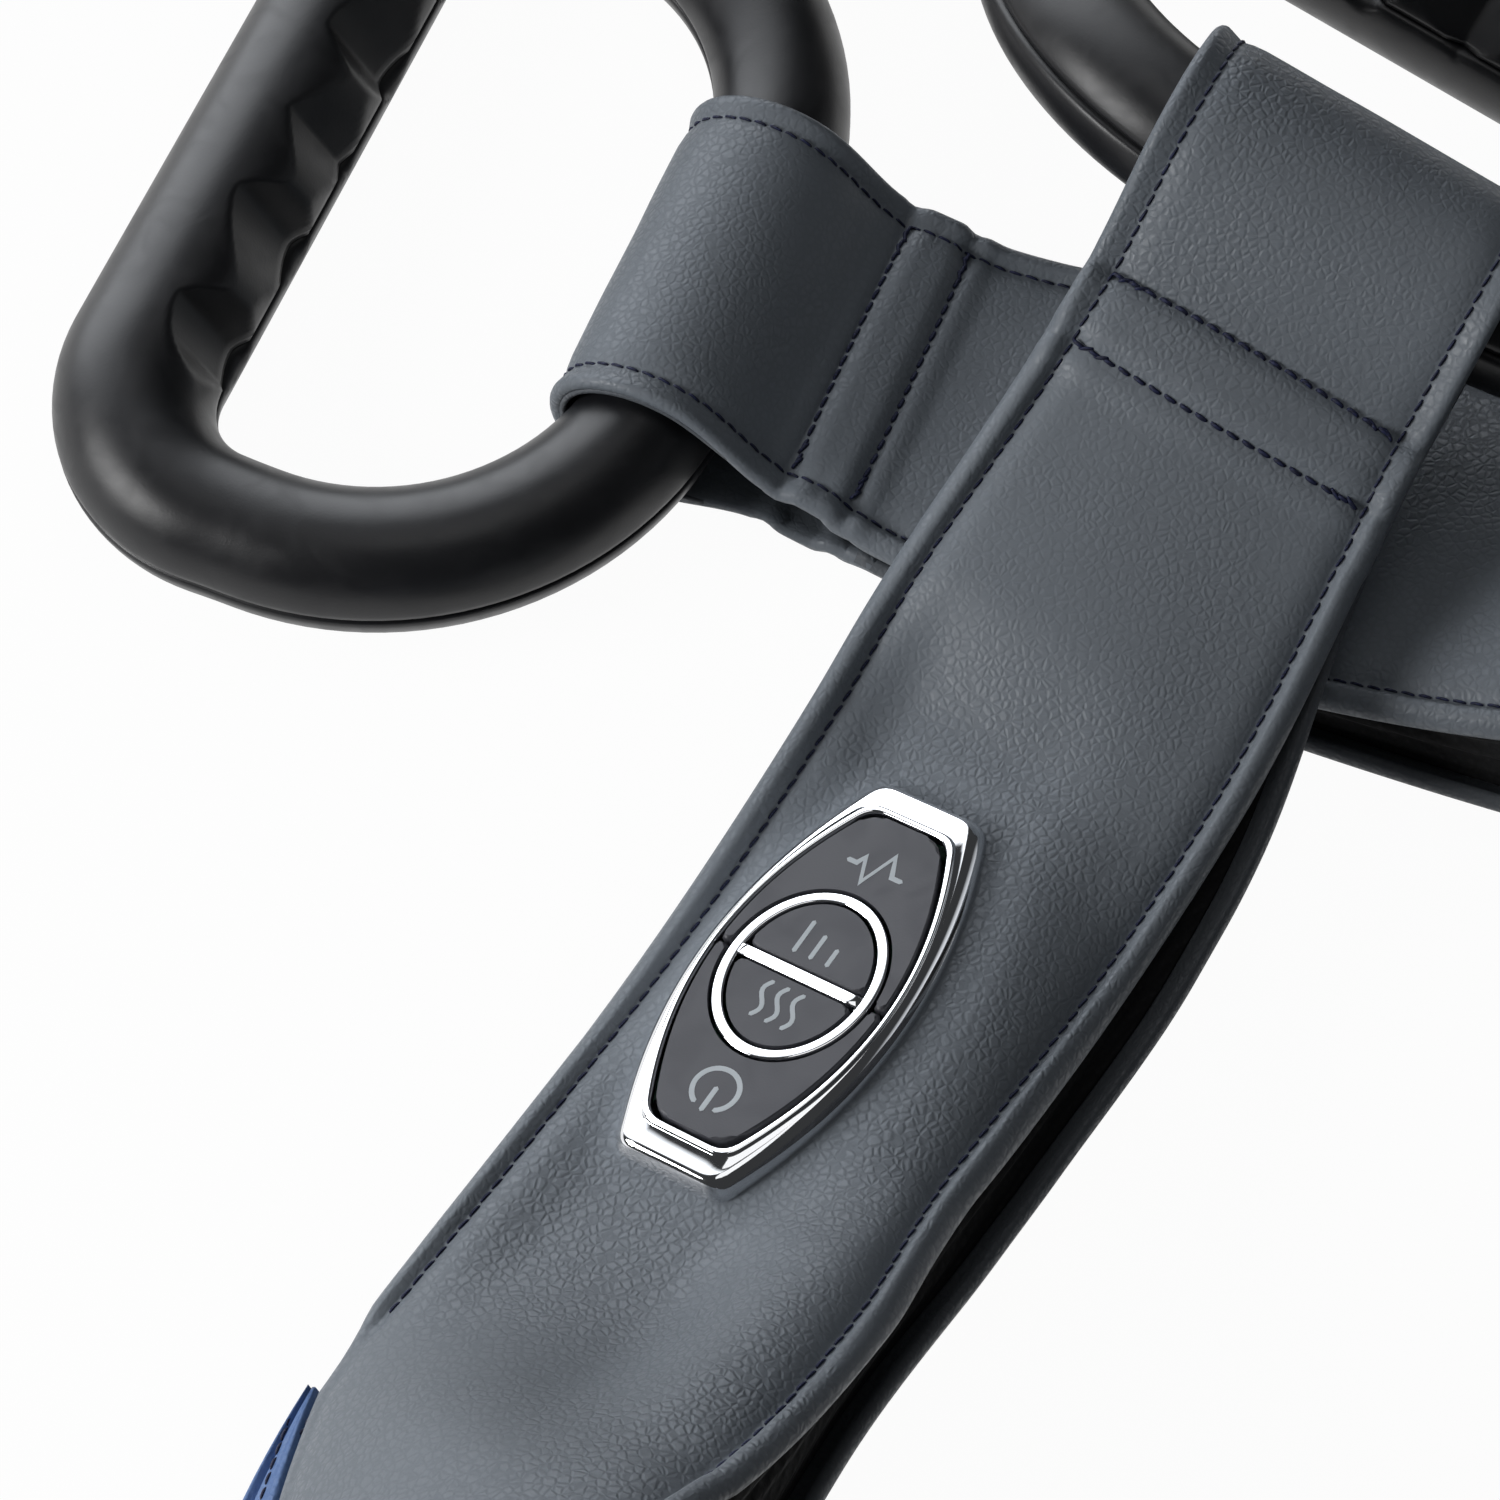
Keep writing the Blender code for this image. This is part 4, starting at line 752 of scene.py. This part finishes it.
def sew(bm, line, lean=0.12, thick=THREAD, start=0.0):
    """Stitches along a line of (point, outward) pairs, each leaning a little across it."""
    reach = [0.0]
    for (p, _), (q, _) in zip(line, line[1:]):
        reach.append(reach[-1] + (q - p).length)

    def at(d):
        i = min(bisect.bisect_left(reach, d, 1), len(reach) - 1) - 1
        t = clamp((d - reach[i]) / max(1e-9, reach[i + 1] - reach[i]))
        return line[i][0].lerp(line[i + 1][0], t), line[i][1].lerp(line[i + 1][1], t).normalized()

    d = start
    while d + STITCH_LONG < reach[-1]:
        (p, out), (q, _) = at(d), at(d + STITCH_LONG)
        aside = (q - p).cross(out).normalized() * (STITCH_LONG * lean)
        add_stitch(bm, p - aside * 0.5, q + aside * 0.5, out, thick)
        d += STITCH_PITCH


def groove_line(cuts, high, relief_of):
    line = []
    for cut in cuts:
        x = cut.high - STITCH_INSET if high else cut.low + STITCH_INSET
        deep = GROOVE * (cut.bead / ARM_BEAD)
        line.append((cut.place(x, relief_of(cut, x) + deep + THREAD * 0.75), cut.out))
    return line


def row_line(cut, relief_of):
    xs = range_steps(cut.low + STITCH_INSET, cut.high - STITCH_INSET, 2 * MM)
    return [(cut.place(x, relief_of(cut, x) + THREAD * 0.4), cut.out) for x in xs]


def outline(inset_side, inset_end):
    """Barrel outline of the panel with flat ends and rounded corners, going round once."""
    half, wide = PANEL_LENGTH / 2 - inset_end, PANEL_WIDTH / 2 - inset_side
    end = max(3 * MM, PANEL_END_WIDTH / 2 - inset_side)
    steps, points = 36, []
    for sign in (1, -1):
        for i in range(steps + 1):
            x = (half - PANEL_CORNER * 0.9) * (1 - 2 * i / steps) * sign
            points.append((x, (wide - (wide - end) * (x / half) ** 2) * sign))
        here = Vector(points[-1])
        stop = Vector((-half * sign, (end - PANEL_CORNER) * sign))
        knee = Vector((-half * sign, end * sign * 0.99))
        arc = [here * (1 - t) ** 2 + knee * 2 * t * (1 - t) + stop * t * t for t in (0.2, 0.4, 0.6, 0.8, 1.0)]
        points += [tuple(p) for p in arc]
        points += [(-half * sign, 0.0)] + [(p.x, -p.y) for p in reversed(arc)]
    return points


def prism(points, low, high):
    return sweep([[panel_point(x, y, z) for x, y in points] for z in (low, high)])


for side, name in SIDES:
    wave = left_leather_relief if side > 0 else leather_relief
    fold = fold_slices(side)
    strap = arm_slices(side)[:-1] + fold
    hide = piece(name + "_strap_leather", sweep([skin_row(c, wave) for c in strap]), grey_leather,
                 stands_for=(name + "_arm_outer_panel", name + "_handle_loop"))
    if side > 0:
        hole = prism(outline(HOLE_INSET, HOLE_INSET), -HOLE_REACH, HOLE_REACH)
        carve(hide, piece("panel_hole", hole, None, None))
    inner_fold = fold_slices(side, LINING_INSET, LINING_BEAD, LINING_DEEP, LINING_FROM)
    piece(name + "_loop_lining", sweep([skin_row(c, None, 16) for c in inner_fold]), lining_leather)
    under = [arm_slice(side * s, False, None, width(s) / 2 + flare(side * s))
             for s in range_steps(FRONT_SEAM + GAP, LAP_START - 2 * MM, FINE)]
    for cut in under:
        cut.high_bead = 1.0
    piece(name + "_arm_lining", sweep([skin_row(c, leather_relief, 18) for c in under]), lining_leather,
          stands_for=(name + "_arm_inner_panel",))

    threads = bmesh.new()
    sewn = [c for c in strap if c.low_bead > 0.9]
    for high in (True, False):
        sew(threads, groove_line(strap if high else sewn, high, wave))
        sew(threads, groove_line(under, high, leather_relief))
    middle = len(fold) // 2
    for at in (ROW_FAR, ROW_NEAR):
        for leg, spot in ((fold[:middle], at), (fold[middle:], LOOP_FROM + fold[-1].at - at)):
            row = row_line(min(leg, key=lambda c: abs(c.at - spot)), wave)
            sew(threads, row, thick=ROW_THREAD)
            for tack, lean in ((row[:TACK_POINTS], -0.5), (row[-TACK_POINTS:], 0.5)):
                sew(threads, tack, lean, TACK_THREAD, STITCH_PITCH * 0.5)
    piece(name + "_arm_stitching", threads, navy_thread)

# Pleated gusset cloth between the skins
PLEAT_DEEP, PLEAT_FULL, PLEAT_CELLS = 2.5 * MM, 14 * MM, 24
for side, name in SIDES:
    rows = []
    for s in range_steps(CAVITY_END + GAP, ARM_END - 2 * MM, 4 * MM):
        spot, _, across, normal = section(side * s)
        half, thick = width(s) / 2 - EDGE_RECESS - 1.2 * MM, edge(side * s) / 2 - 2.6 * MM
        fold_deep = PLEAT_DEEP * clamp(thick / PLEAT_FULL)
        ring = []
        for sign in (1, -1):
            for k in range(PLEAT_CELLS + 1):
                t = k / (PLEAT_CELLS / 2) - 1
                sag = fold_deep * (0.6 * (1 - t * t) + 0.4 * cos(t * pi * 4.5) * (1 - abs(t)))
                reach = half - sag
                if sign > 0:
                    reach += flare(side * s) * (1 + t) / 2 - tuck(side * s) * (1 - t) / 2
                ring.append(spot + across * (sign * reach) + normal * (-sign * t * thick))
        cut = arm_slice(side * s)
        for k in range(1, 16):
            x = half * (k / 8 - 1)
            dip = min(0.0, left_leather_relief(cut, x) + cut.lift(x)) if side > 0 else 0.0
            ring.append(spot + across * x + normal * (thick + dip * 1.1))
        rows.append(ring)
    piece(name + "_arm_gusset", sweep(rows), black_cloth,
          stands_for=(name + "_arm_pad",))

# Blue back cover, mesh front cover, and the cloth along the body's upper and lower edges
back = []
for s in range_steps(-SEAM_TIP + 3 * MM, SEAM_TIP - 3 * MM, 3 * MM):
    half = width(abs(s)) / 2
    turned = 1 - smooth(SEAM_ROOT - 12 * MM, SEAM_ROOT, abs(s))
    cut = arm_slice(s, True, None, (seam(s) * half - GAP) * (1 - turned) + half * turned)
    cut.high_bead = turned
    back.append(cut)
piece("back_leather", sweep([skin_row(c, leather_relief, 34) for c in back]), blue_leather,
      stands_for=("back_cover",))
threads = bmesh.new()
sew(threads, groove_line(back, False, leather_relief))
sew(threads, groove_line([c for c in back if c.high_bead > 0.9], True, leather_relief))
for side in (1, -1):
    line = []
    for s in range_steps(SEAM_ROOT + 6 * MM, SEAM_TIP - 6 * MM, 4 * MM):
        cut = arm_slice(side * s)
        x = seam(side * s) * cut.half - 4.0 * MM
        line.append((cut.place(x, THREAD * 0.3), cut.out))
    sew(threads, line)
piece("cover_stitching", threads, navy_thread)


def front_relief(cut, x):
    """Mesh bulged out over the two rotors, and a little uneven."""
    reach = hypot(cut.at - ROTOR_PITCH / 2, x + ROTOR_DROP) / (ROTOR_RADIUS * 1.35)
    bulge = 5 * MM * (1 - smooth(0.45, 1.0, reach))
    return bulge + 0.35 * MM * soft_noise(cut.base + cut.across * x, 25 * MM, 5.0)


front = [arm_slice(s, False) for s in range_steps(-FRONT_SEAM + GAP, FRONT_SEAM - GAP, 3 * MM)]
piece("front_mesh", sweep([skin_row(c, front_relief, 40) for c in front]), black_mesh,
      stands_for=("front_cover",))


def edge_cloth(name, low, high, node, bow):
    """Strip of cloth along the body between two heights from its middle, its top bowed down."""
    rows = []
    for s in range_steps(-CAVITY_END, CAVITY_END, 6 * MM):
        spot, _, across, normal = section(s)
        thick = edge(s) / 2 - 3.2 * MM
        ring = []
        for k in range(15):
            t = k / 7 - 1
            sag = bow * (1 - t * t) + 0.3 * MM * soft_noise(spot + normal * (t * thick), 20 * MM)
            ring.append(spot + across * (high - (sag if bow else 0.0)) + normal * (t * thick))
        for k in range(9):
            t = 1 - k / 4
            ring.append(spot + across * low + normal * (t * thick))
        rows.append(ring)
    piece(name, sweep(rows), black_cloth, stands_for=(node,))


unit_reach, cloth_top = UNIT_HEIGHT / 2 + GAP, BODY_HEIGHT / 2 - EDGE_RECESS - 0.5 * MM
edge_cloth("upper_gusset_cloth", unit_reach, cloth_top, "upper_gusset", 2.0 * MM)
edge_cloth("base_cloth", -BODY_MID, -unit_reach, "base_strip", 0.0)


# Handle rings
def ring_half():
    """Half of the ring's middle line as (x, y, outward x, outward y), from the bar to the grip."""
    x, y, heading = 0.0, 0.0, 0.0
    points = [(0.0, 0.0, 0.0, -1.0)]

    def advance(step, count, turn=0.0):
        nonlocal x, y, heading
        for _ in range(count):
            x += step * cos(heading + turn / 2)
            y += step * sin(heading + turn / 2)
            heading += turn
            points.append((x, y, sin(heading), -cos(heading)))

    def corner(radius, count):
        turn = radians(90) / count
        advance(2 * radius * sin(turn / 2), count, turn)

    advance(BAR_HALF / 8, 8)
    corner(SHOULDER_RADIUS, 30)
    advance(max(1 * MM, GRIP_OFFSET - CORNER_RADIUS - y) / 6, 6)
    corner(CORNER_RADIUS, 24)
    advance(x / 96, 96)
    return points


def ring_stations():
    """Stations round the ring with the tube's radius and the depth of the finger rests."""
    half = ring_half()
    distance, run = [0.0], 0.0
    for a, b in zip(reversed(half), list(reversed(half))[1:]):
        run += hypot(a[0] - b[0], a[1] - b[1])
        distance.append(run)
    distance.reverse()
    rows = []
    for (x, y, ox, oy), q in zip(half, distance):
        fingers = q / FINGER_PITCH
        radius = TUBE_RADIUS + (GRIP_RADIUS - TUBE_RADIUS) * (1 - smooth(2, 4, fingers))
        phase = (fingers + 0.5) % 1.0
        scoop = between(phase, 0.0, 0.3, 0.3, 1.0) if fingers < SCOOP_END else 0.0
        cut = CUSP_DEPTH * (1 - smooth(*CUSP_FADE, fingers)) + SCOOP_DEPTH * scoop
        rows.append((x, y, ox, oy, radius, cut))
    mirror = [(-x, y, -ox, oy, r, c) for x, y, ox, oy, r, c in rows[-2:0:-1]]
    return rows + mirror


RING = ring_stations()


def ring_place(side):
    """Frame of a ring that lies in its loop with its grip on the floor."""
    spot, along, across, _ = section(side * BAR_AT)
    across = across.normalized()
    start = across.cross(along).cross(across).normalized()

    def place(angle):
        y = Matrix.Rotation(angle * side, 3, across) @ start
        return Matrix.Translation(spot) @ Matrix((across, y, across.cross(y))).transposed().to_4x4()

    def lowest(angle):
        where = place(angle)
        return min((where @ Vector((x, y, 0))).z - r for x, y, _, _, r, _ in RING)

    high, low = radians(60), radians(-75)
    flip = 1 if lowest(low) < lowest(high) else -1
    low, high = low * flip, high * flip
    for _ in range(40):
        mid = (low + high) / 2
        if lowest(mid) > FLOOR_CLEAR:
            high = mid
        else:
            low = mid
    return place(high)


def shell_rows(place, up):
    """Half of the ring's tube with rounded parting edges and hollowed finger rests."""
    skyward = up * (place @ Vector((0, 0, 1)) - place @ Vector()).z > 0
    rows, cells = [], 44
    for x, y, ox, oy, radius, cut in RING:
        row = []
        for k in range(cells + 1):
            angle = radians(180 * k / cells)
            out, rise = radius * cos(angle), radius * sin(angle)
            lean = -rise * sin(SCOOP_TILT) if skyward else rise * UNDER_TILT
            out = max(out, -(radius - cut + lean) / cos(SCOOP_TILT))
            lip = PARTING_FILLET * max(0.0, 1 - rise / PARTING_RISE) ** 2
            out -= copysign(lip, out)
            row.append(place @ Vector((x + ox * out, y + oy * out, up * (rise + GAP / 2 + PARTING_GAP))))
        rows.append(row)
    return rows


for side, name in SIDES:
    place = ring_place(side)
    for up, half in ((1, "_handle_top_shell"), (-1, "_handle_bottom_shell")):
        piece(name + half + "_moulding", sweep(shell_rows(place, up), closed=True), black_plastic,
              body=name + "_handle", stands_for=(name + half,))


# Control panel
def band_bm(rings):
    """Closed band from outlines listed as (outline, height) round the band's section."""
    count = len(rings[0][0])
    return sweep([[panel_point(*points[i], z) for points, z in rings] for i in range(count)], closed=True)


# Section of the bezel in mm: in from the sides, in from the ends, height
foot, top, band, ends = BEZEL_FOOT / MM, BEZEL_RISE / MM, BEZEL_BAND / MM, BEZEL_END_BAND / MM
bezel_section = [(0.0, 0.0, foot), (0.0, 0.0, 0.3), (0.06, 0.06, 0.8), (0.25, 0.25, 1.4), (0.6, 0.55, 2.1),
                 (1.1, 0.95, 2.8), (1.55, 1.35, 3.25), (1.9, 1.8, 3.5), (2.05, 2.4, 3.6),
                 (2.12, ends - 1.5, 3.62), (2.2, ends - 1.25, 3.8), (2.3, ends - 1.1, top - 0.1),
                 (2.45, ends - 0.9, top), (band - 0.3, ends - 0.35, top),
                 (band - 0.08, ends - 0.1, top - 0.2), (band, ends, top - 0.6), (band, ends, foot)]


def oval(grow):
    """Outline of the chrome ring, grown or taken in by a distance."""
    return [((RING_LONG + grow) * cos(2 * pi * i / 120),
             (RING_WIDE + grow) * sin(2 * pi * i / 120)) for i in range(120)]


def eased_section(low, high, top):
    """Section of a plated bar from its low to its high side, with both upper edges eased."""
    soft = PLATE_EASE
    return [(low, BUTTON_LOW), (low, top - soft), (low + soft * 0.3, top - soft * 0.3), (low + soft, top),
            (high - soft, top), (high - soft * 0.3, top - soft * 0.3), (high, top - soft), (high, BUTTON_LOW)]


bezel_bm = band_bm([(outline(a * MM, b * MM), z * MM) for a, b, z in bezel_section])
piece("bezel_plating", bezel_bm, chrome, stands_for=("control_bezel",))
ring_section = reversed(eased_section(-RING_BAND - 0.15 * MM, 0.15 * MM, BEZEL_RISE + 0.25 * MM))
piece("ring_plating", band_bm([(oval(grow), z) for grow, z in ring_section]), chrome,
      stands_for=("control_ring",))
bar_section = eased_section(-BAR_BAND / 2, BAR_BAND / 2, BEZEL_RISE + 0.2 * MM)
bar_reach = RING_WIDE - RING_BAND * 0.5
piece("ring_bar_plating", sweep([[panel_point(x, y, z) for x, z in bar_section]
                                 for y in range_steps(-bar_reach, bar_reach, 3 * MM)]), chrome)


def button_bm(border):
    """Button from its outline: straight skirt and a rounded rim."""
    bm = prism(border, BUTTON_LOW, BUTTON_TOP)
    rim = [e for e in bm.edges if all((PANEL_BACK @ v.co).z > BUTTON_TOP - 0.1 * MM for v in e.verts)]
    bmesh.ops.bevel(bm, geom=rim, offset=BUTTON_SOFT, segments=4, profile=0.5, affect="EDGES",
                    clamp_overlap=False)
    return bm


def oval_arc(grow, nearest, sign):
    """Part of an oval beside the chrome ring, down from its top, no nearer the middle than a distance."""
    across, along = RING_WIDE + grow, RING_LONG + grow
    reach = acos(nearest / along)
    return [(along * cos(a) * sign, across * sin(a)) for a in range_steps(reach, -reach, 0.06)]


def end_border(sign):
    """Outline of an end button: the bezel's mouth, then back along the chrome ring to the split."""
    inset = BEZEL_BAND + BUTTON_GAP
    outer = [p for p in outline(inset, BEZEL_END_BAND + BUTTON_GAP) if p[0] * sign > BUTTON_SPLIT + 0.6 * MM]
    outer.sort(key=lambda p: atan2(p[1], p[0] * sign))
    edge_y = PANEL_WIDTH / 2 - inset
    outer = [(BUTTON_SPLIT * sign, -edge_y)] + outer + [(BUTTON_SPLIT * sign, edge_y)]
    return outer + oval_arc(BUTTON_RING_GAP, BUTTON_SPLIT, sign)


def half_border(sign):
    """Outline of a half-oval button inside the chrome ring."""
    flat = BAR_BAND / 2 + 0.5 * MM
    arc = oval_arc(-RING_BAND - BUTTON_RING_GAP, flat + 0.5 * MM, sign)
    top = arc[0][1]
    return arc + [(flat * sign, y) for y in range_steps(-top + 0.4 * MM, top - 0.4 * MM, 1.2 * MM)]


def stroke(bm, line, half):
    """Flat painted stroke along a line of panel points, with pointed ends and mitred corners."""
    points = [Vector(p) * MM for p in line]
    runs = [(q - p).normalized() for p, q in zip(points, points[1:])]
    left, right = [], []
    for p, come, go in zip(points, runs[:1] + runs, runs + runs[-1:]):
        run = (come + go).normalized()
        aside = Vector((-run.y, run.x)) * (half / max(0.55, run.dot(go)))
        left.append(p + aside)
        right.append(p - aside)
    border = left + [points[-1] + runs[-1] * half * 0.8] + right[::-1] + [points[0] - runs[0] * half * 0.8]
    low, top = [[bm.verts.new(panel_point(p.x, p.y, BUTTON_TOP + rise)) for p in border]
                for rise in (-0.2 * MM, 0.05 * MM)]
    count = len(line)
    flats = [(i, i + 1, 2 * count - i - 1, 2 * count - i) for i in range(count - 1)]
    flats += [(count - 1, count, count + 1), (2 * count + 1, 0, 2 * count)]
    for corners in flats:
        bm.faces.new([top[i] for i in corners])
        bm.faces.new([low[i] for i in reversed(corners)])
    bridge(bm, low, top)


def mark(key, lines, wide):
    bm = bmesh.new()
    for line in lines:
        stroke(bm, line, wide * MM / 2)
    piece(key + "_mark", bm, mark_paint, body=key + "_key", smooth_faces=False)


for key, border in (("mode", end_border(1)), ("power", end_border(-1)),
                    ("level", half_border(1)), ("heat", half_border(-1))):
    cap = piece(key + "_button_cap", button_bm(border), button_plastic, body=key + "_key",
                stands_for=(key + "_button",))
    for face in cap.data.polygons:
        face.use_smooth = len(face.vertices) < 9

# Marks on the buttons, in mm along and across the panel: pulse line, power sign, bars and waves
pulse = [(22.6, -5.0), (22.6, -3.2), (26.4, -1.6), (19.6, 1.0), (24.2, 2.8), (22.6, 3.6), (22.6, 5.2)]
power_turns = [radians(210 + 300 * i / 36) for i in range(37)]
power_ring = [(-24.4 + 3.9 * cos(a), 3.9 * sin(a)) for a in power_turns]
bars = [[(3.4, y), (end, y)] for y, end in ((3.4, 9.6), (0.2, 8.0), (-3.0, 6.6))]
waves = [[(-3.2 - 0.62 * i, y + 0.85 * sin(i / 11 * 2 * pi)) for i in range(12)]
         for y in (-3.0, 0.0, 3.0)]
mark("mode", [pulse], 0.9)
mark("power", [power_ring, [(-24.2, 0.0), (-28.6, 0.0)]], 0.9)
mark("level", bars, 0.8)
mark("heat", waves, 0.8)

# Power inlet on the back, turned from a profile of radii and heights in mm
inlet_profile = [(5.4, -8.8), (5.5, 1.6), (7.8, 1.7), (8.0, 2.0), (8.0, 2.8), (7.7, 3.1), (3.3, 3.1),
                 (2.9, 2.8), (2.8, -7.0), (1.0, -7.2), (1.0, -0.4), (0.6, 0.0), (0.02, 0.0), (0.02, -8.8)]
cut = arm_slice(0.0)
inlet_middle = cut.place(-0.42 * BODY_HEIGHT / 2, 0.0)
sideways = cut.across.cross(cut.out)
rows = []
for i in range(48):
    a = 2 * pi * i / 48
    way = cut.across * cos(a) + sideways * sin(a)
    rows.append([inlet_middle + way * (r * MM) + cut.out * (h * MM) for r, h in inlet_profile])
piece("inlet_collar", sweep(rows, closed=True), inlet_plastic,
      stands_for=("dc_socket",))

# Solids that stay as they are: material, and how their names start or end
INNER = (
    (moulded("unit_moulding", (0.6, 0.6, 0.57), 0.5), ("unit_base", "unit_cover", "_rotor_plate")),
    (moulded("nylon_gear", (0.72, 0.70, 0.62), 0.45), ("_worm_wheel",)),
    (moulded("soft_node", (0.10, 0.10, 0.11), 0.6, strength=0.4), ("_node",)),
    (moulded("housing_plastic", (0.012, 0.012, 0.013), 0.5), ("control_housing",)),
    (moulded("board_green", (0.02, 0.12, 0.06), 0.4, lift=1.5), ("board",)),
    (moulded("pale_foam", (0.30, 0.30, 0.31), 0.9, strength=0.8, grain=700.0), ("back_foam",)),
    (brushed("turned_brass", (0.62, 0.46, 0.20), 0.32), ("_worm",)),
    (brushed("drawn_steel", (0.55, 0.55, 0.56), 0.3), ("case_screw", "motor", "_output_shaft")),
)
for node_name, obj in nodes.items():
    for mat, ends in INNER:
        if node_name.startswith(ends) or node_name.endswith(ends):
            obj.data.materials.clear()
            obj.data.materials.append(mat)
            break

# Floor, light and camera
LOOK = Vector((0.0537, -0.2851, 0.020))
AZIMUTH, ELEVATION, DISTANCE, VIEW_ANGLE = radians(153.74), radians(64.67), 0.7157, radians(20)
up = Vector((0, 0, 1))
picture_right = Vector((cos(AZIMUTH), sin(AZIMUTH), 0))
flat_up = Vector((-sin(AZIMUTH), cos(AZIMUTH), 0))
sight = flat_up * cos(ELEVATION) - up * sin(ELEVATION)
camera = bpy.data.objects.new("camera", bpy.data.cameras.new("camera"))
scene.collection.objects.link(camera)
camera.data.sensor_fit, camera.data.angle = "HORIZONTAL", VIEW_ANGLE
camera.location = LOOK - sight * DISTANCE
camera.rotation_euler = sight.to_track_quat("-Z", "Y").to_euler()
camera.data.clip_start, camera.data.clip_end = 0.01, 50
scene.camera = camera


def bare_tree(owner):
    """Emptied shader tree of a material or world, its camera rays and its mirrored rays."""
    owner.use_nodes = True
    tree = owner.node_tree
    tree.nodes.clear()
    seen = wire(tree, "LightPath").outputs
    glossy = maths(tree, "MAXIMUM", seen["Is Glossy Ray"], seen["Is Transmission Ray"])
    return tree, seen["Is Camera Ray"], glossy


def mixed(tree, share, a, b):
    return wire(tree, "MixShader", share, a, b).outputs[0]


def background(tree, colour, strength):
    return wire(tree, "Background", Color=(*colour, 1.0), Strength=strength).outputs[0]


floor_bm = bmesh.new()
bmesh.ops.create_grid(floor_bm, x_segments=1, y_segments=1, size=6.0)
floor = piece("floor", floor_bm, None, None)
floor.location.z = -0.4 * MM
paper = bpy.data.materials.new("white_paper")
tree, direct, glossy = bare_tree(paper)
plain = wire(tree, "BsdfDiffuse", Color=(0.9, 0.9, 0.9, 1.0)).outputs[0]
glow = wire(tree, "Emission", Color=(1, 1, 1, 1), Strength=1.0).outputs[0]
share = maths(tree, "MULTIPLY", maths(tree, "MAXIMUM", direct, glossy), 0.965)
wire(tree, "OutputMaterial", mixed(tree, share, plain, glow))
floor.data.materials.append(paper)

world = bpy.data.worlds.new("studio")
scene.world = world
tree, direct, glossy = bare_tree(world)
way = wire(tree, "TexCoord").outputs["Generated"]
overhead = vector_maths(tree, "DOT_PRODUCT", way, flat_up * 0.85 - picture_right * 0.42 + up * 0.30)
beside = vector_maths(tree, "DOT_PRODUCT", way, picture_right)
panel_light = maths(tree, "MAXIMUM", span(tree, overhead.outputs["Value"], 0.72, 0.88, 0.04, 4.2),
                    span(tree, beside.outputs["Value"], 0.86, 0.96, 0.04, 0.9))
dim = background(tree, (0.96, 0.98, 1.0), 0.07)
mirrored = background(tree, (0.93, 0.96, 1.0), panel_light)
studio = mixed(tree, direct, mixed(tree, glossy, dim, mirrored), background(tree, (1, 1, 1), 1.0))
wire(tree, "OutputWorld", studio)


def softbox(name, place, power, size):
    lamp = bpy.data.lights.new(name, "AREA")
    lamp.energy, lamp.size = power, size
    obj = bpy.data.objects.new(name, lamp)
    scene.collection.objects.link(obj)
    obj.location = LOOK + place
    obj.rotation_euler = (LOOK - obj.location).to_track_quat("-Z", "Y").to_euler()


softbox("left_softbox", -picture_right * 0.76 - flat_up * 0.14 + up * 0.38, power=5.7, size=0.4)
softbox("top_softbox", up * 1.10 + flat_up * 0.1, power=1.2, size=0.6)

bpy.context.scene.view_settings.view_transform = "Standard"
